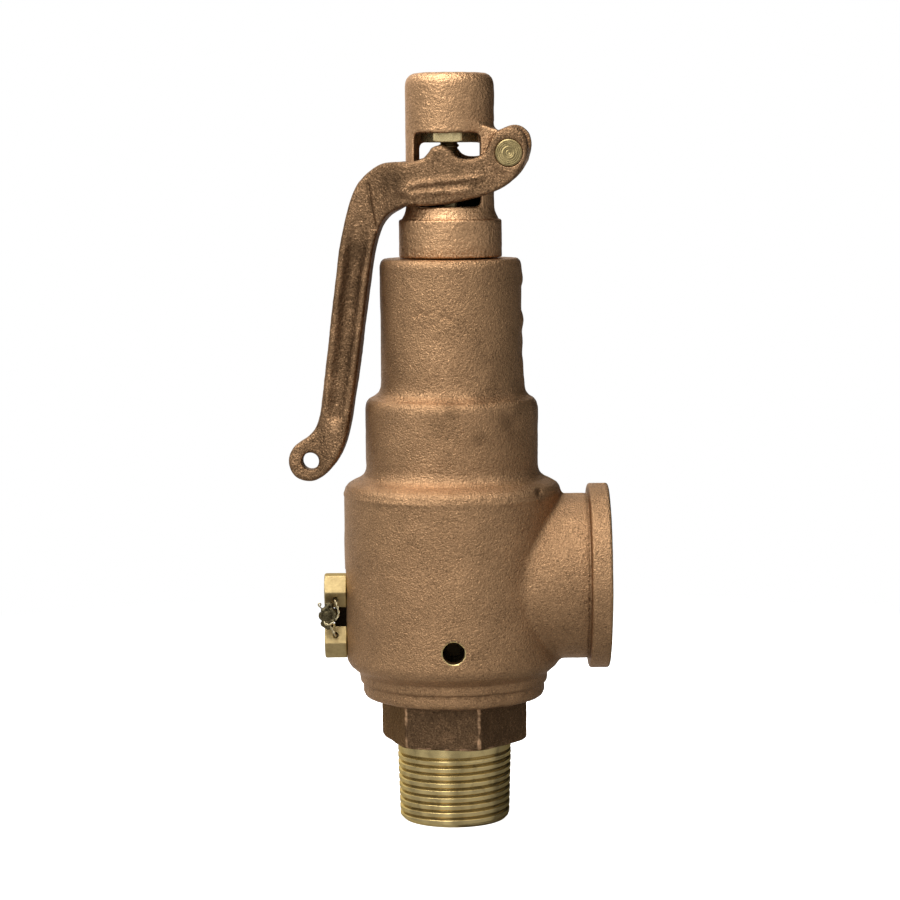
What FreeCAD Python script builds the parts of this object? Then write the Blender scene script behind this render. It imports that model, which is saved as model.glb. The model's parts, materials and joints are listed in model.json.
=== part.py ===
# Bronze pressure relief valve, 1 inch NPT male inlet, 1-1/4 inch NPT female outlet.
# Millimetres, +Z up along the spindle, origin at the centre of the inlet's bottom face,
# outlet along +X, drain hole facing -Y, ring set screws facing -X.
import FreeCAD, Part
import math
import os
from FreeCAD import Vector, Placement, Rotation

os.makedirs("parts", exist_ok=True)
doc = FreeCAD.newDocument("pressure_relief_valve")

# ---------------------------------------------------------------- driving dimensions
CELLS = [
    # nozzle: male pipe thread, hexagon, neck for the ring, seat
    ("inlet_bore", 12.2), ("throat_bore", 10.2), ("seat_height", 60.0), ("seat_lip", 12.6),
    ("thread_start", 1.4), ("thread_pitch", 2.209), ("thread_depth", 1.25),
    ("thread_tip_radius", 16.2), ("thread_taper", 0.03125), ("shank_radius", 16.7),
    ("hex_bottom", 23.5), ("hex_tall", 13.0), ("hex_corner", 21.997), ("hex_turn", 49.5),
    ("foot_thread", 18.0), ("foot_thread_top", 45.4), ("neck_radius", 14.0), ("neck_top", 57.0),
    # body casting
    ("body_bottom", 36.6), ("foot_radius", 26.9), ("foot_step", 41.0), ("foot_upper", 27.7),
    ("body_radius", 31.8), ("body_low", 48.6), ("body_high", 97.3),
    ("mid_radius", 25.25), ("mid_low", 105.0), ("mid_high", 122.0),
    ("bonnet_radius", 20.65), ("bonnet_low", 130.0), ("bonnet_high", 163.4), ("bonnet_top", 165.6),
    ("cap_spigot", 11.8), ("spigot_top", 171.5),
    ("cavity_radius", 27.3), ("cavity_low", 45.6), ("web_low", 99.0), ("web_high", 104.0),
    ("guide_seat", 16.05), ("chamber_radius", 20.8), ("spring_room", 16.4),
    ("bonnet_roof", 160.6), ("screw_thread", 6.65),
    ("outlet_height", 71.9), ("outlet_neck", 24.45), ("outlet_band", 27.35),
    ("band_start", 39.5), ("outlet_face", 45.8), ("outlet_bore", 19.6), ("outlet_depth", 18.0),
    ("outlet_throat", 18.4), ("drain_height", 54.4), ("drain_radius", 3.15),
    ("upper_screw_height", 68.0), ("lower_screw_height", 53.0), ("screw_radius", 3.0),
    ("screw_hex", 5.485), ("head_length", 6.55), ("spot_face", 31.35), ("wire_hole", 0.8),
    # rings and guide
    ("ring_inner", 14.05), ("lower_ring_outer", 18.0), ("lower_ring_low", 49.5), ("lower_ring_high", 59.0),
    ("upper_ring_outer", 17.0), ("upper_ring_low", 64.0), ("upper_ring_high", 74.5),
    ("notch_radius", 2.1), ("guide_bore", 9.56), ("guide_sleeve", 12.6), ("guide_low", 72.2),
    ("guide_flange", 17.9), ("guide_body", 16.0),
    # spindle group
    ("disc_radius", 12.3), ("disc_tall", 3.0), ("holder_radius", 13.6), ("holder_stem", 9.5),
    ("holder_low", 60.6), ("holder_mid", 66.5), ("holder_high", 93.0), ("stem_radius", 3.175),
    ("stem_low", 68.2), ("stem_thread", 2.75), ("stem_top", 211.0), ("collar_radius", 6.2),
    ("collar_low", 109.5), ("collar_high", 112.0), ("cross_pin", 1.2), ("cross_pin_height", 84.0),
    ("step_radius", 12.8), ("step_pilot", 8.6), ("step_tall", 4.0), ("pilot_tall", 3.5),
    ("spring_low", 116.0), ("spring_high", 157.0), ("spring_mean", 11.2), ("spring_wire", 2.0),
    ("spring_pitch", 7.2), ("step_bore", 3.5),
    # compression screw, lock nut, lift nuts
    ("compression_radius", 6.6), ("compression_bore", 3.5), ("compression_low", 161.0),
    ("compression_shoulder", 176.2), ("compression_top", 180.0), ("drive_hex", 5.8),
    ("lock_nut_low", 171.6), ("lock_nut_tall", 4.4), ("lock_nut_hex", 9.9),
    ("lift_nut_low", 199.0), ("lift_nut_tall", 5.5), ("lift_nut_hex", 8.25),
    ("jam_nut_low", 204.6), ("jam_nut_tall", 3.6), ("jam_nut_hex", 7.33),
    # cap
    ("cap_turn", 4.3), ("cap_low", 165.7), ("cap_skirt", 15.1), ("skirt_top", 176.6),
    ("cap_radius", 12.95), ("cap_neck", 180.0), ("cap_top", 219.1), ("cap_bore", 10.6),
    ("cap_roof", 215.4), ("cap_thread", 11.85), ("cap_edge", 2.0),
    ("window_low", 180.5), ("window_tall", 21.1), ("window_half", 8.9),
    ("pin_reach", 17.8), ("pin_height", 195.87), ("pin_radius", 3.97), ("pin_half_length", 13.6),
    ("ear_half", 9.3), ("ear_radius", 5.3), ("ear_hole", 4.03),
    # lever
    ("lever_half", 13.4), ("fork_gap", 9.9), ("yoke_radius", 13.35), ("cam_inner", 4.6), ("eye_reach", 41.63), ("eye_height", 106.22),
    ("eye_radius", 2.5), ("channel_floor", 3.4),
    # sealing wire and lead seal
    ("seal_radius", 2.7), ("seal_thick", 2.4), ("wire_radius", 0.35),
]
sheet = doc.addObject("Spreadsheet::Sheet", "Dims")
for row, (name, value) in enumerate(CELLS, 1):
    sheet.set("A%d" % row, name)
    sheet.set("B%d" % row, repr(value))
    sheet.setAlias("B%d" % row, name)
doc.recompute()


class Q:
    """A length that carries both its sheet expression and its present value."""

    def __init__(self, text, value):
        self.text, self.value = text, value

    def _join(self, other, sign, swap=False):
        o = other if isinstance(other, Q) else Q(repr(float(other)), float(other))
        a, b = (o, self) if swap else (self, o)
        v = {"+": a.value + b.value, "-": a.value - b.value, "*": a.value * b.value}[sign]
        return Q("(%s %s %s)" % (a.text, sign, b.text), v)

    def __add__(self, o): return self._join(o, "+")
    def __radd__(self, o): return self._join(o, "+", True)
    def __sub__(self, o): return self._join(o, "-")
    def __rsub__(self, o): return self._join(o, "-", True)
    def __mul__(self, o): return self._join(o, "*")
    def __rmul__(self, o): return self._join(o, "*", True)


class D:
    pass


for name, value in CELLS:
    setattr(D, name, Q("Dims." + name, float(sheet.get(name))))


def num(q):
    return q.value if isinstance(q, Q) else float(q)


def bind(obj, prop, q):
    if isinstance(q, Q):
        obj.setExpression(prop, q.text)
    return num(q)


# ---------------------------------------------------------------- small builders
def plane(body, role):
    for f in body.Origin.OriginFeatures:
        if f.Role == role:
            return f
    raise RuntimeError("no plane " + role)


def new_body(name):
    body = doc.addObject("PartDesign::Body", name)
    body.Label = name
    return body


def place_sketch(body, name, role, off=None):
    sk = body.newObject("Sketcher::SketchObject", name)
    sk.AttachmentSupport = [(plane(body, role), "")]
    sk.MapMode = "FlatFace"
    if off is not None:
        sk.AttachmentOffset = Placement(Vector(0, 0, num(off)), Rotation())
        bind(sk, "AttachmentOffset.Base.z", off)
    return sk


def polygon(sk, pts):
    """Closed outline through pts, each corner held by dimensions from the sketch origin."""
    n = len(pts)
    xy = [(num(a), num(b)) for a, b in pts]
    sk.addGeometry([Part.LineSegment(Vector(*xy[i], 0), Vector(*xy[(i + 1) % n], 0)) for i in range(n)], False)
    con, names = [], []
    for i in range(n):
        con.append(Sketcher.Constraint("Coincident", i, 2, (i + 1) % n, 1))
    for i, (a, b) in enumerate(pts):
        for kind, q, axis in (("DistanceX", a, -2), ("DistanceY", b, -1)):
            if abs(num(q)) < 1e-9:
                con.append(Sketcher.Constraint("PointOnObject", i, 1, axis))
            else:
                names.append((len(con), q))
                con.append(Sketcher.Constraint(kind, -1, 1, i, 1, num(q)))
    sk.addConstraint(con)
    for index, q in names:
        if isinstance(q, Q):
            sk.setExpression("Constraints[%d]" % index, q.text)


def turned(body, name, pts, groove=False):
    sk = place_sketch(body, name + "_profile", "XZ_Plane")
    polygon(sk, pts)
    f = body.newObject("PartDesign::Groove" if groove else "PartDesign::Revolution", name)
    f.Profile = sk
    f.ReferenceAxis = (sk, ["V_Axis"])
    f.Angle = 360.0
    sk.Visibility = False
    return f


def primitive(body, kind, name, role, at, turn=0.0, **dims):
    """PartDesign primitive on one of the body's own planes; at = offset in that plane's axes."""
    f = body.newObject("PartDesign::" + kind, name)
    f.AttachmentSupport = [(plane(body, role), "")]
    f.MapMode = "FlatFace"
    f.AttachmentOffset = Placement(Vector(*[num(a) for a in at]), Rotation(Vector(0, 0, 1), num(turn)))
    for c, a in zip("xyz", at):
        bind(f, "AttachmentOffset.Base." + c, a)
    if kind.endswith("Prism"):
        f.Polygon = 6
    for key, q in dims.items():
        setattr(f, key, num(q))
        bind(f, key, q)
    return f


def round_edges(body, feature, name, radius, wanted):
    doc.recompute()
    edges = []
    for i, e in enumerate(feature.Shape.Edges):
        if isinstance(e.Curve, Part.Circle):
            for r, z in wanted:
                if abs(e.Curve.Radius - num(r)) < 1e-3 and abs(e.Curve.Center.z - num(z)) < 1e-3:
                    edges.append("Edge%d" % (i + 1))
    if not edges:
        raise RuntimeError("no edge for " + name)
    f = body.newObject("PartDesign::Fillet", name)
    f.Base = (feature, edges)
    f.Radius = num(radius)
    bind(f, "Radius", radius)
    return f


import Sketcher

parts = []

# ---------------------------------------------------------------- body casting with bonnet
body = new_body("body_casting")
turned(body, "Casting", [
    (0, D.body_bottom), (21.6, D.body_bottom), (25.3, D.body_bottom + 0.1), (26.4, D.body_bottom + 0.7),
    (D.foot_radius, D.body_bottom + 1.7), (D.foot_radius, D.foot_step), (D.foot_upper, D.foot_step),
    (D.foot_upper + 0.2, D.foot_step + 2.8), (29.3, D.body_low - 3.6), (30.7, D.body_low - 2.4),
    (D.body_radius - 0.3, D.body_low - 1.1), (D.body_radius, D.body_low), (D.body_radius, D.body_high),
    (D.body_radius - 0.35, D.body_high + 1.4), (30.6, D.body_high + 2.5), (29.0, D.body_high + 3.4),
    (27.2, D.body_high + 4.2), (26.0, D.body_high + 5.2), (D.mid_radius + 0.2, D.mid_low - 1.2),
    (D.mid_radius, D.mid_low), (D.mid_radius, D.mid_high), (D.mid_radius - 0.35, D.mid_high + 1.6),
    (24.1, D.mid_high + 2.7), (22.6, D.mid_high + 3.5), (21.4, D.mid_high + 4.6),
    (D.bonnet_radius + 0.2, D.bonnet_low - 1.9), (D.bonnet_radius, D.bonnet_low),
    (D.bonnet_radius, D.bonnet_high), (D.bonnet_radius - 0.4, D.bonnet_high + 1.3),
    (D.bonnet_radius - 1.3, D.bonnet_top), (D.cap_spigot, D.bonnet_top), (D.cap_spigot, D.spigot_top),
    (0, D.spigot_top)])
primitive(body, "AdditiveCylinder", "OutletNeck", "YZ_Plane", (0, D.outlet_height, 0),
          Radius=D.outlet_neck, Height=D.band_start + 1.0)
primitive(body, "AdditiveCylinder", "OutletBand", "YZ_Plane", (0, D.outlet_height, D.band_start),
          Radius=D.outlet_band, Height=D.outlet_face - D.band_start)
turned(body, "Cavity", [
    (0, 30.0), (D.foot_thread + 0.05, 30.0), (D.foot_thread + 0.05, D.cavity_low), (D.cavity_radius, D.cavity_low),
    (D.cavity_radius, 96.8), (24.4, D.web_low), (D.guide_seat, D.web_low), (D.guide_seat, D.web_high),
    (D.chamber_radius, 105.6), (D.chamber_radius, 119.6), (D.spring_room, 124.2),
    (D.spring_room, D.bonnet_roof), (14.0, 163.0), (D.screw_thread, 163.0), (D.screw_thread, 175.0), (0, 175.0)],
    groove=True)
primitive(body, "SubtractiveCylinder", "OutletThread", "YZ_Plane",
          (0, D.outlet_height, D.outlet_face - D.outlet_depth), Radius=D.outlet_bore, Height=D.outlet_depth + 2.0)
primitive(body, "SubtractiveCylinder", "OutletThroat", "YZ_Plane", (0, D.outlet_height, 20.0),
          Radius=D.outlet_throat, Height=D.outlet_face - 30.0)
primitive(body, "SubtractiveCylinder", "DrainHole", "XZ_Plane", (0, D.drain_height, 24.0),
          Radius=D.drain_radius, Height=12.0)
for tag, zz in (("Upper", D.upper_screw_height), ("Lower", D.lower_screw_height)):
    primitive(body, "SubtractiveCylinder", tag + "ScrewHole", "YZ_Plane", (0, zz, -36.0),
              Radius=D.screw_radius + 0.04, Height=14.0)
    primitive(body, "SubtractiveCylinder", tag + "SpotFace", "YZ_Plane", (0, zz, -1 * D.spot_face - 4.0),
              Radius=6.3, Height=4.0)
parts.append(body)

# ---------------------------------------------------------------- nozzle: male pipe thread, hexagon, seat
nozzle = new_body("nozzle")
outer = [(D.inlet_bore, 0), (15.2, 0)]
turns = 8
for k in range(turns):
    z0 = D.thread_start + float(k) * D.thread_pitch
    crest = D.thread_tip_radius + (D.thread_taper * (k * 2.209))
    outer += [(crest - D.thread_depth, z0), (crest, z0 + 0.42 * D.thread_pitch), (crest, z0 + 0.58 * D.thread_pitch)]
end = D.thread_start + float(turns) * D.thread_pitch
outer += [(D.shank_radius - D.thread_depth, end), (D.shank_radius, end + 1.1), (D.shank_radius, D.hex_bottom + 0.5),
          (18.0, D.hex_bottom + 0.5), (D.foot_thread, D.foot_thread_top), (D.neck_radius, D.foot_thread_top),
          (D.neck_radius, D.neck_top), (D.seat_lip, D.neck_top), (D.seat_lip, D.seat_height),
          (D.throat_bore, D.seat_height), (D.throat_bore, 52.0), (D.inlet_bore, 40.0)]
turned(nozzle, "Turning", outer)
primitive(nozzle, "AdditivePrism", "Hexagon", "XY_Plane", (0, 0, D.hex_bottom), turn=D.hex_turn,
          Circumradius=D.hex_corner, Height=D.hex_tall)
primitive(nozzle, "SubtractiveCylinder", "InletBore", "XY_Plane", (0, 0, D.hex_bottom - 1.0),
          Radius=D.inlet_bore, Height=D.hex_tall + 2.0)
parts.append(nozzle)

# ---------------------------------------------------------------- rings, each notched for its set screw
for label, inner, outer_r, low, high, relief in (
        ("lower_regulating_ring", D.ring_inner, D.lower_ring_outer, D.lower_ring_low, D.lower_ring_high, False),
        ("upper_regulating_ring", D.guide_sleeve + 0.05, D.upper_ring_outer, D.upper_ring_low, D.upper_ring_high, True)):
    ring = new_body(label)
    if relief:
        pts = [(14.4, low), (outer_r, low), (outer_r, high), (inner, high), (inner, D.guide_low + 0.3), (14.4, D.guide_low + 0.3)]
    else:
        pts = [(inner, low), (outer_r, low), (outer_r, high - 1.0), (outer_r - 1.5, high), (inner, high)]
    turned(ring, "Ring", pts)
    zz = D.upper_screw_height if relief else D.lower_screw_height
    notch = primitive(ring, "SubtractiveCylinder", "Notch", "YZ_Plane", (0, zz, -20.0),
                      Radius=D.notch_radius, Height=20.0 - (outer_r - 1.7))
    doc.recompute()
    pattern = ring.newObject("PartDesign::PolarPattern", "Notches")
    pattern.Originals = [notch]
    pattern.Axis = (plane(ring, "Z_Axis"), [""])
    pattern.Angle = 360.0
    pattern.Occurrences = 12
    ring.Tip = pattern
    parts.append(ring)

# ---------------------------------------------------------------- guide pressed into the web
guide = new_body("disc_guide")
turned(guide, "Guide", [
    (D.guide_bore, D.guide_low), (D.guide_sleeve, D.guide_low), (D.guide_sleeve, D.web_low - 3.0),
    (D.guide_flange, D.web_low - 3.0), (D.guide_flange, D.web_low - 0.05), (D.guide_body, D.web_low - 0.05),
    (D.guide_body, D.web_high), (D.guide_bore, D.web_high)])
parts.append(guide)

# ---------------------------------------------------------------- ring set screws with drilled hexagon heads
for label, zz, reach, hole_dz in (("upper_set_screw", D.upper_screw_height, 16.0, -2.1),
                                  ("lower_set_screw", D.lower_screw_height, 16.6, 2.3)):
    screw = new_body(label)
    primitive(screw, "AdditivePrism", "Head", "YZ_Plane", (0, zz, -1 * D.spot_face - D.head_length), turn=0.0,
              Circumradius=D.screw_hex, Height=D.head_length)
    primitive(screw, "AdditiveCylinder", "Shank", "YZ_Plane", (0, zz, -1 * D.spot_face), Radius=D.screw_radius,
              Height=D.spot_face - 22.0)
    primitive(screw, "AdditiveCylinder", "Tip", "YZ_Plane", (0, zz, -22.0), Radius=1.7, Height=22.0 - reach)
    primitive(screw, "SubtractiveCylinder", "WireHole", "XZ_Plane", (-34.6, zz + hole_dz, -8.0),
              Radius=D.wire_hole, Height=16.0)
    parts.append(screw)

# ---------------------------------------------------------------- disc, disc holder, stem and its cross pin
disc = new_body("valve_disc")
turned(disc, "Disc", [(0, D.seat_height + 0.02), (D.disc_radius - 0.6, D.seat_height + 0.02),
                      (D.disc_radius, D.seat_height + 0.62), (D.disc_radius, D.seat_height + D.disc_tall),
                      (0, D.seat_height + D.disc_tall)])
parts.append(disc)

holder = new_body("disc_holder")
turned(holder, "Holder", [
    (0, D.seat_height + D.disc_tall + 0.02), (D.disc_radius + 0.05, D.seat_height + D.disc_tall + 0.02),
    (D.disc_radius + 0.05, D.holder_low), (D.holder_radius, D.holder_low), (D.holder_radius, D.holder_mid - 1.2),
    (D.holder_radius - 1.2, D.holder_mid), (D.holder_stem, D.holder_mid), (D.holder_stem, D.holder_high),
    (D.stem_radius + 0.04, D.holder_high), (D.stem_radius + 0.04, D.stem_low - 0.1), (0, D.stem_low - 0.1)])
primitive(holder, "SubtractiveCylinder", "PinHole", "XZ_Plane", (0, D.cross_pin_height, -10.0),
          Radius=D.cross_pin + 0.02, Height=20.0)
parts.append(holder)

stem = new_body("stem")
stem_pts = [(0, D.stem_low), (2.2, D.stem_low), (D.stem_radius, D.stem_low + 1.0), (D.stem_radius, D.collar_low),
            (D.collar_radius, D.collar_low), (D.collar_radius, D.collar_high), (D.stem_radius, D.collar_high),
            (D.stem_radius, 184.0), (D.stem_thread - 0.3, 184.6)]
for k in range(18):
    z0 = 185.2 + k * 1.4
    stem_pts += [(D.stem_thread, z0 + 0.5), (D.stem_thread, z0 + 0.7), (D.stem_thread - 0.42, z0 + 1.25)]
stem_pts += [(D.stem_thread - 0.42, D.stem_top), (0, D.stem_top)]
turned(stem, "Spindle", stem_pts)
primitive(stem, "SubtractiveCylinder", "PinHole", "XZ_Plane", (0, D.cross_pin_height, -10.0),
          Radius=D.cross_pin + 0.02, Height=20.0)
parts.append(stem)

pin = new_body("stem_cross_pin")
primitive(pin, "AdditiveCylinder", "Pin", "XZ_Plane", (0, D.cross_pin_height, -9.0), Radius=D.cross_pin, Height=18.0)
parts.append(pin)

# ---------------------------------------------------------------- spring between its two steps
low_step = new_body("lower_spring_step")
turned(low_step, "Step", [
    (D.stem_radius + 0.05, D.collar_high), (D.step_radius, D.collar_high), (D.step_radius, D.spring_low),
    (D.step_pilot, D.spring_low), (D.step_pilot - 0.8, D.spring_low + D.pilot_tall),
    (D.stem_radius + 0.05, D.spring_low + D.pilot_tall)])
parts.append(low_step)

up_step = new_body("upper_spring_step")
turned(up_step, "Step", [
    (D.step_bore, D.spring_high - D.pilot_tall), (D.step_pilot - 0.8, D.spring_high - D.pilot_tall),
    (D.step_pilot, D.spring_high), (D.step_radius, D.spring_high), (D.step_radius, D.spring_high + D.step_tall),
    (D.step_bore, D.spring_high + D.step_tall)])
parts.append(up_step)

# helical compression spring, its end coils ground flat
sv = lambda n: float(sheet.get(n))
helix = Part.makeHelix(sv("spring_pitch"), sv("spring_high") - sv("spring_low") + 2.4, sv("spring_mean"))
helix.translate(Vector(0, 0, sv("spring_low") - 1.2))
coil_section = Part.Wire([Part.makeCircle(sv("spring_wire"), Vector(sv("spring_mean"), 0, sv("spring_low") - 1.2), Vector(0, 1, 0))])
coil = Part.Wire(helix).makePipeShell([coil_section], True, True)
trim = Part.makeCylinder(20.0, sv("spring_high") - sv("spring_low"), Vector(0, 0, sv("spring_low")))
spring = doc.addObject("Part::Feature", "spring")
spring.Label = "spring"
spring.Shape = coil.common(trim).Solids[0]
spring.Placement = Placement(Vector(0, 0, 0), Rotation())
parts.append(spring)

# ---------------------------------------------------------------- compression screw and lock nut
comp = new_body("compression_screw")
turned(comp, "Screw", [
    (D.compression_bore, D.compression_low), (D.compression_radius - 1.0, D.compression_low),
    (D.compression_radius, D.compression_low + 1.0), (D.compression_radius, D.compression_shoulder - 0.8),
    (D.compression_radius - 0.8, D.compression_shoulder), (D.compression_bore, D.compression_shoulder)])
primitive(comp, "AdditivePrism", "Drive", "XY_Plane", (0, 0, D.compression_shoulder - 0.2), turn=15.0,
          Circumradius=D.drive_hex, Height=D.compression_top - D.compression_shoulder + 0.2)
primitive(comp, "SubtractiveCylinder", "StemBore", "XY_Plane", (0, 0, D.compression_shoulder - 1.0),
          Radius=D.compression_bore, Height=8.0)
parts.append(comp)


def nut(label, low, tall, corner, bore, turn):
    b = new_body(label)
    primitive(b, "AdditivePrism", "Hex", "XY_Plane", (0, 0, low), turn=turn, Circumradius=corner, Height=tall)
    primitive(b, "SubtractiveCylinder", "Thread", "XY_Plane", (0, 0, low - 1.0), Radius=bore, Height=tall + 2.0)
    # corners turned off at both faces
    turned(b, "Chamfer", [(corner - 0.9, low - 0.6), (corner + 1.0, low - 0.6), (corner + 1.0, low + 0.8)], groove=True)
    turned(b, "ChamferTop", [(corner - 0.9, low + tall + 0.6), (corner + 1.0, low + tall + 0.6),
                             (corner + 1.0, low + tall - 0.8)], groove=True)
    parts.append(b)
    return b


nut("compression_lock_nut", D.lock_nut_low, D.lock_nut_tall, D.lock_nut_hex, D.screw_thread, 10.0)
nut("lift_nut", D.lift_nut_low, D.lift_nut_tall, D.lift_nut_hex, D.stem_thread + 0.04, 55.0)
nut("lift_jam_nut", D.jam_nut_low, D.jam_nut_tall, D.jam_nut_hex, D.stem_thread + 0.04, 20.0)

# ---------------------------------------------------------------- cap with window and pin ear
cap = new_body("cap")
turned(cap, "CapOuter", [
    (0, D.cap_low), (D.cap_skirt, D.cap_low), (D.cap_skirt, D.skirt_top), (D.cap_skirt - 0.9, D.skirt_top + 0.9),
    (D.cap_radius + 0.5, D.cap_neck - 1.6), (D.cap_radius, D.cap_neck), (D.cap_radius, D.cap_top - 1.4),
    (D.cap_radius - 0.55, D.cap_top - 0.5), (D.cap_radius - 1.6, D.cap_top), (0, D.cap_top)])
ear = place_sketch(cap, "EarOutline", "XZ_Plane")
c, r = (num(D.pin_reach), num(D.pin_height)), num(D.ear_radius)
arc = [(D.pin_reach + r * math.cos(math.radians(a)), D.pin_height + r * math.sin(math.radians(a)))
       for a in (-60, -30, 0, 30, 60, 90)]
polygon(ear, [(6.0, 186.0), (11.5, 187.2)] + arc + [(11.5, 203.6), (6.0, 204.4)])
earpad = cap.newObject("PartDesign::Pad", "Ear")
earpad.Profile = ear
earpad.Length = 2 * num(D.ear_half)
earpad.setExpression("Length", "2 * Dims.ear_half")
earpad.Midplane = True
turned(cap, "CapInner", [
    (0, 160.0), (D.cap_thread, 160.0), (D.cap_thread, D.spigot_top + 0.1), (D.cap_bore, D.spigot_top + 1.3),
    (D.cap_bore, D.cap_roof - 1.5), (D.cap_bore - 1.5, D.cap_roof), (0, D.cap_roof)], groove=True)
win = place_sketch(cap, "WindowPlan", "XY_Plane", D.window_low)
polygon(win, [(-1 * D.window_half, 0), (-1 * D.window_half - 1.6, -8.0), (-1 * D.window_half - 1.6, -16.0),
              (D.window_half + 1.6, -16.0), (D.window_half + 1.6, -8.0), (D.window_half, 0),
              (D.window_half + 1.6, 8.0), (D.window_half + 1.6, 16.0), (-1 * D.window_half - 1.6, 16.0),
              (-1 * D.window_half - 1.6, 8.0)])
doc.recompute()
before = cap.Shape.Volume
pocket = cap.newObject("PartDesign::Pocket", "Window")
pocket.Profile = win
pocket.Length = num(D.window_tall)
pocket.setExpression("Length", "Dims.window_tall")
pocket.Reversed = True
doc.recompute()
if not cap.Shape.Volume < before - 1000:
    raise RuntimeError("cap window cut nothing")
primitive(cap, "SubtractiveCylinder", "PinHole", "XZ_Plane", (D.pin_reach, D.pin_height, -15.0),
          Radius=D.ear_hole, Height=30.0)
parts.append(cap)

# ---------------------------------------------------------------- lever: fork, channelled handle, eye
SIDE = [(-40.81, 100.2), (-38.58, 101.2), (-36.9, 102.5), (-34.65, 104.9), (-33.02, 107.3), (-31.76, 109.9),
        (-30.7, 113.0), (-29.8, 116.6), (-29.0, 120.8), (-27.76, 128.6), (-26.62, 136.2), (-25.55, 144.2),
        (-24.48, 152.0), (-23.44, 159.9), (-22.3, 166.9), (-21.0, 172.0), (-19.6, 175.6), (-17.7, 177.9),
        (-15.3, 179.4), (-12.6, 180.5), (-9.5, 180.9), (-4.4, 180.8), (1.0, 181.4), (6.4, 182.5), (11.2, 183.8),
        (15.2, 185.4), (17.5, 186.8), (19.6, 188.7), (21.2, 190.8), (22.35, 193.1), (23.1, 195.6), (23.3, 198.0),
        (22.8, 200.4), (21.7, 201.9), (20.1, 203.0), (18.1, 203.34), (15.9, 202.8), (13.6, 201.5), (12.2, 199.2),
        (11.3, 196.9), (9.7, 195.2), (7.4, 194.4), (4.9, 194.3), (2.9, 195.0), (1.1, 196.8), (-1.5, 198.15),
        (-4.1, 197.6), (-5.6, 195.8), (-7.4, 194.3), (-11.0, 193.6), (-15.1, 193.6), (-18.6, 193.3), (-21.4, 192.2),
        (-24.2, 190.0), (-26.4, 187.5), (-28.2, 184.2), (-29.9, 179.0), (-31.2, 173.8), (-32.3, 168.0),
        (-33.35, 160.0), (-34.5, 151.6), (-35.65, 142.5), (-36.9, 133.2), (-38.1, 124.2), (-38.9, 119.6),
        (-40.2, 116.1), (-42.3, 113.6), (-44.9, 111.8), (-46.9, 110.0), (-48.1, 107.3), (-47.9, 104.2),
        (-46.3, 101.6), (-43.7, 100.3)]
PLAN = [(-52.0, 2.75), (-39.2, 2.75), (-36.5, 4.2), (-33.0, 4.9), (-28.0, 5.1), (-24.5, 5.5), (-22.0, 6.3),
        (-19.0, 8.2), (-16.5, 10.2), (-14.0, 12.0), (-11.5, 13.1), (-9.0, 13.4), (30.0, 13.4)]
CAM = [(-4.9, 190.5), (1.6, 190.5), (1.3, 196.5), (0.2, 197.5), (-1.5, 198.1), (-3.4, 197.8), (-4.7, 196.9)]
CHANNEL = [(-27.2, 181.0), (-28.9, 174.5), (-30.9, 160.0), (-33.2, 142.0), (-35.7, 123.0), (-35.6, 119.8),
           (-34.0, 118.4), (-32.4, 119.6), (-31.3, 124.0), (-28.6, 142.0), (-26.1, 160.0), (-24.6, 171.0),
           (-24.6, 179.0), (-25.6, 181.6)]


def prism(pts, direction, start):
    """Closed outline moved to its start and swept along direction."""
    w = Part.makePolygon([p + start for p in pts] + [pts[0] + start])
    return Part.Face(w).extrude(direction)


def lever_shape():
    half, gap = sv("lever_half"), sv("fork_gap")
    curve = Part.BSplineCurve()
    curve.interpolate(Points=[Vector(x, -half, z) for x, z in SIDE], PeriodicFlag=True)
    blank = Part.Face(Part.Wire(curve.toShape())).extrude(Vector(0, 2 * half, 0))
    plan = [Vector(x, y, 0) for x, y in PLAN] + [Vector(x, -y, 0) for x, y in reversed(PLAN)]
    outline = prism(plan, Vector(0, 0, 140), Vector(0, 0, 80))
    shape = blank.common(outline)
    yoke = Part.makeCylinder(sv("yoke_radius"), 60, Vector(0, 0, 160)).common(
        Part.makeBox(20, 40, 60, Vector(-29.0, -20, 160)))
    shape = shape.cut(yoke).cut(Part.makeBox(50, 2 * gap, 60, Vector(-9.02, -gap, 160)))
    # cams on the inner faces of the fork, reaching under the lift nut
    for low in (-gap - 0.5, sv("cam_inner")):
        cam = prism([Vector(x, low, z) for x, z in CAM], Vector(0, gap + 0.5 - sv("cam_inner"), 0), Vector(0, 0, 0))
        shape = shape.fuse(cam)
    shape = shape.removeSplitter()
    floor = sv("channel_floor")
    for side in (1, -1):
        pts = [Vector(x, side * floor, z) for x, z in CHANNEL]
        shape = shape.cut(prism(pts, Vector(0, side * 12, 0), Vector(0, 0, 0)))
    shape = shape.cut(Part.makeCylinder(sv("pin_radius") + 0.01, 60, Vector(sv("pin_reach"), -30, sv("pin_height")), Vector(0, 1, 0)))
    shape = shape.cut(Part.makeCylinder(sv("eye_radius"), 40, Vector(-sv("eye_reach"), -20, sv("eye_height")), Vector(0, 1, 0)))
    return shape.Solids[0]


lever = doc.addObject("Part::Feature", "lever")
lever.Label = "lever"
lever.Shape = lever_shape()
parts.append(lever)

lever_pin = new_body("lever_pin")
primitive(lever_pin, "AdditiveCylinder", "Pin", "XZ_Plane", (D.pin_reach, D.pin_height, -1 * D.pin_half_length),
          Radius=D.pin_radius, Height=2 * D.pin_half_length)
parts.append(lever_pin)

# the cap is screwed on a little short of square to the outlet, and the lever turns with it
for obj in (cap, lever, lever_pin):
    obj.Placement = Placement(Vector(0, 0, 0), Rotation(Vector(0, 0, -1), sv("cap_turn")))

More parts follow.
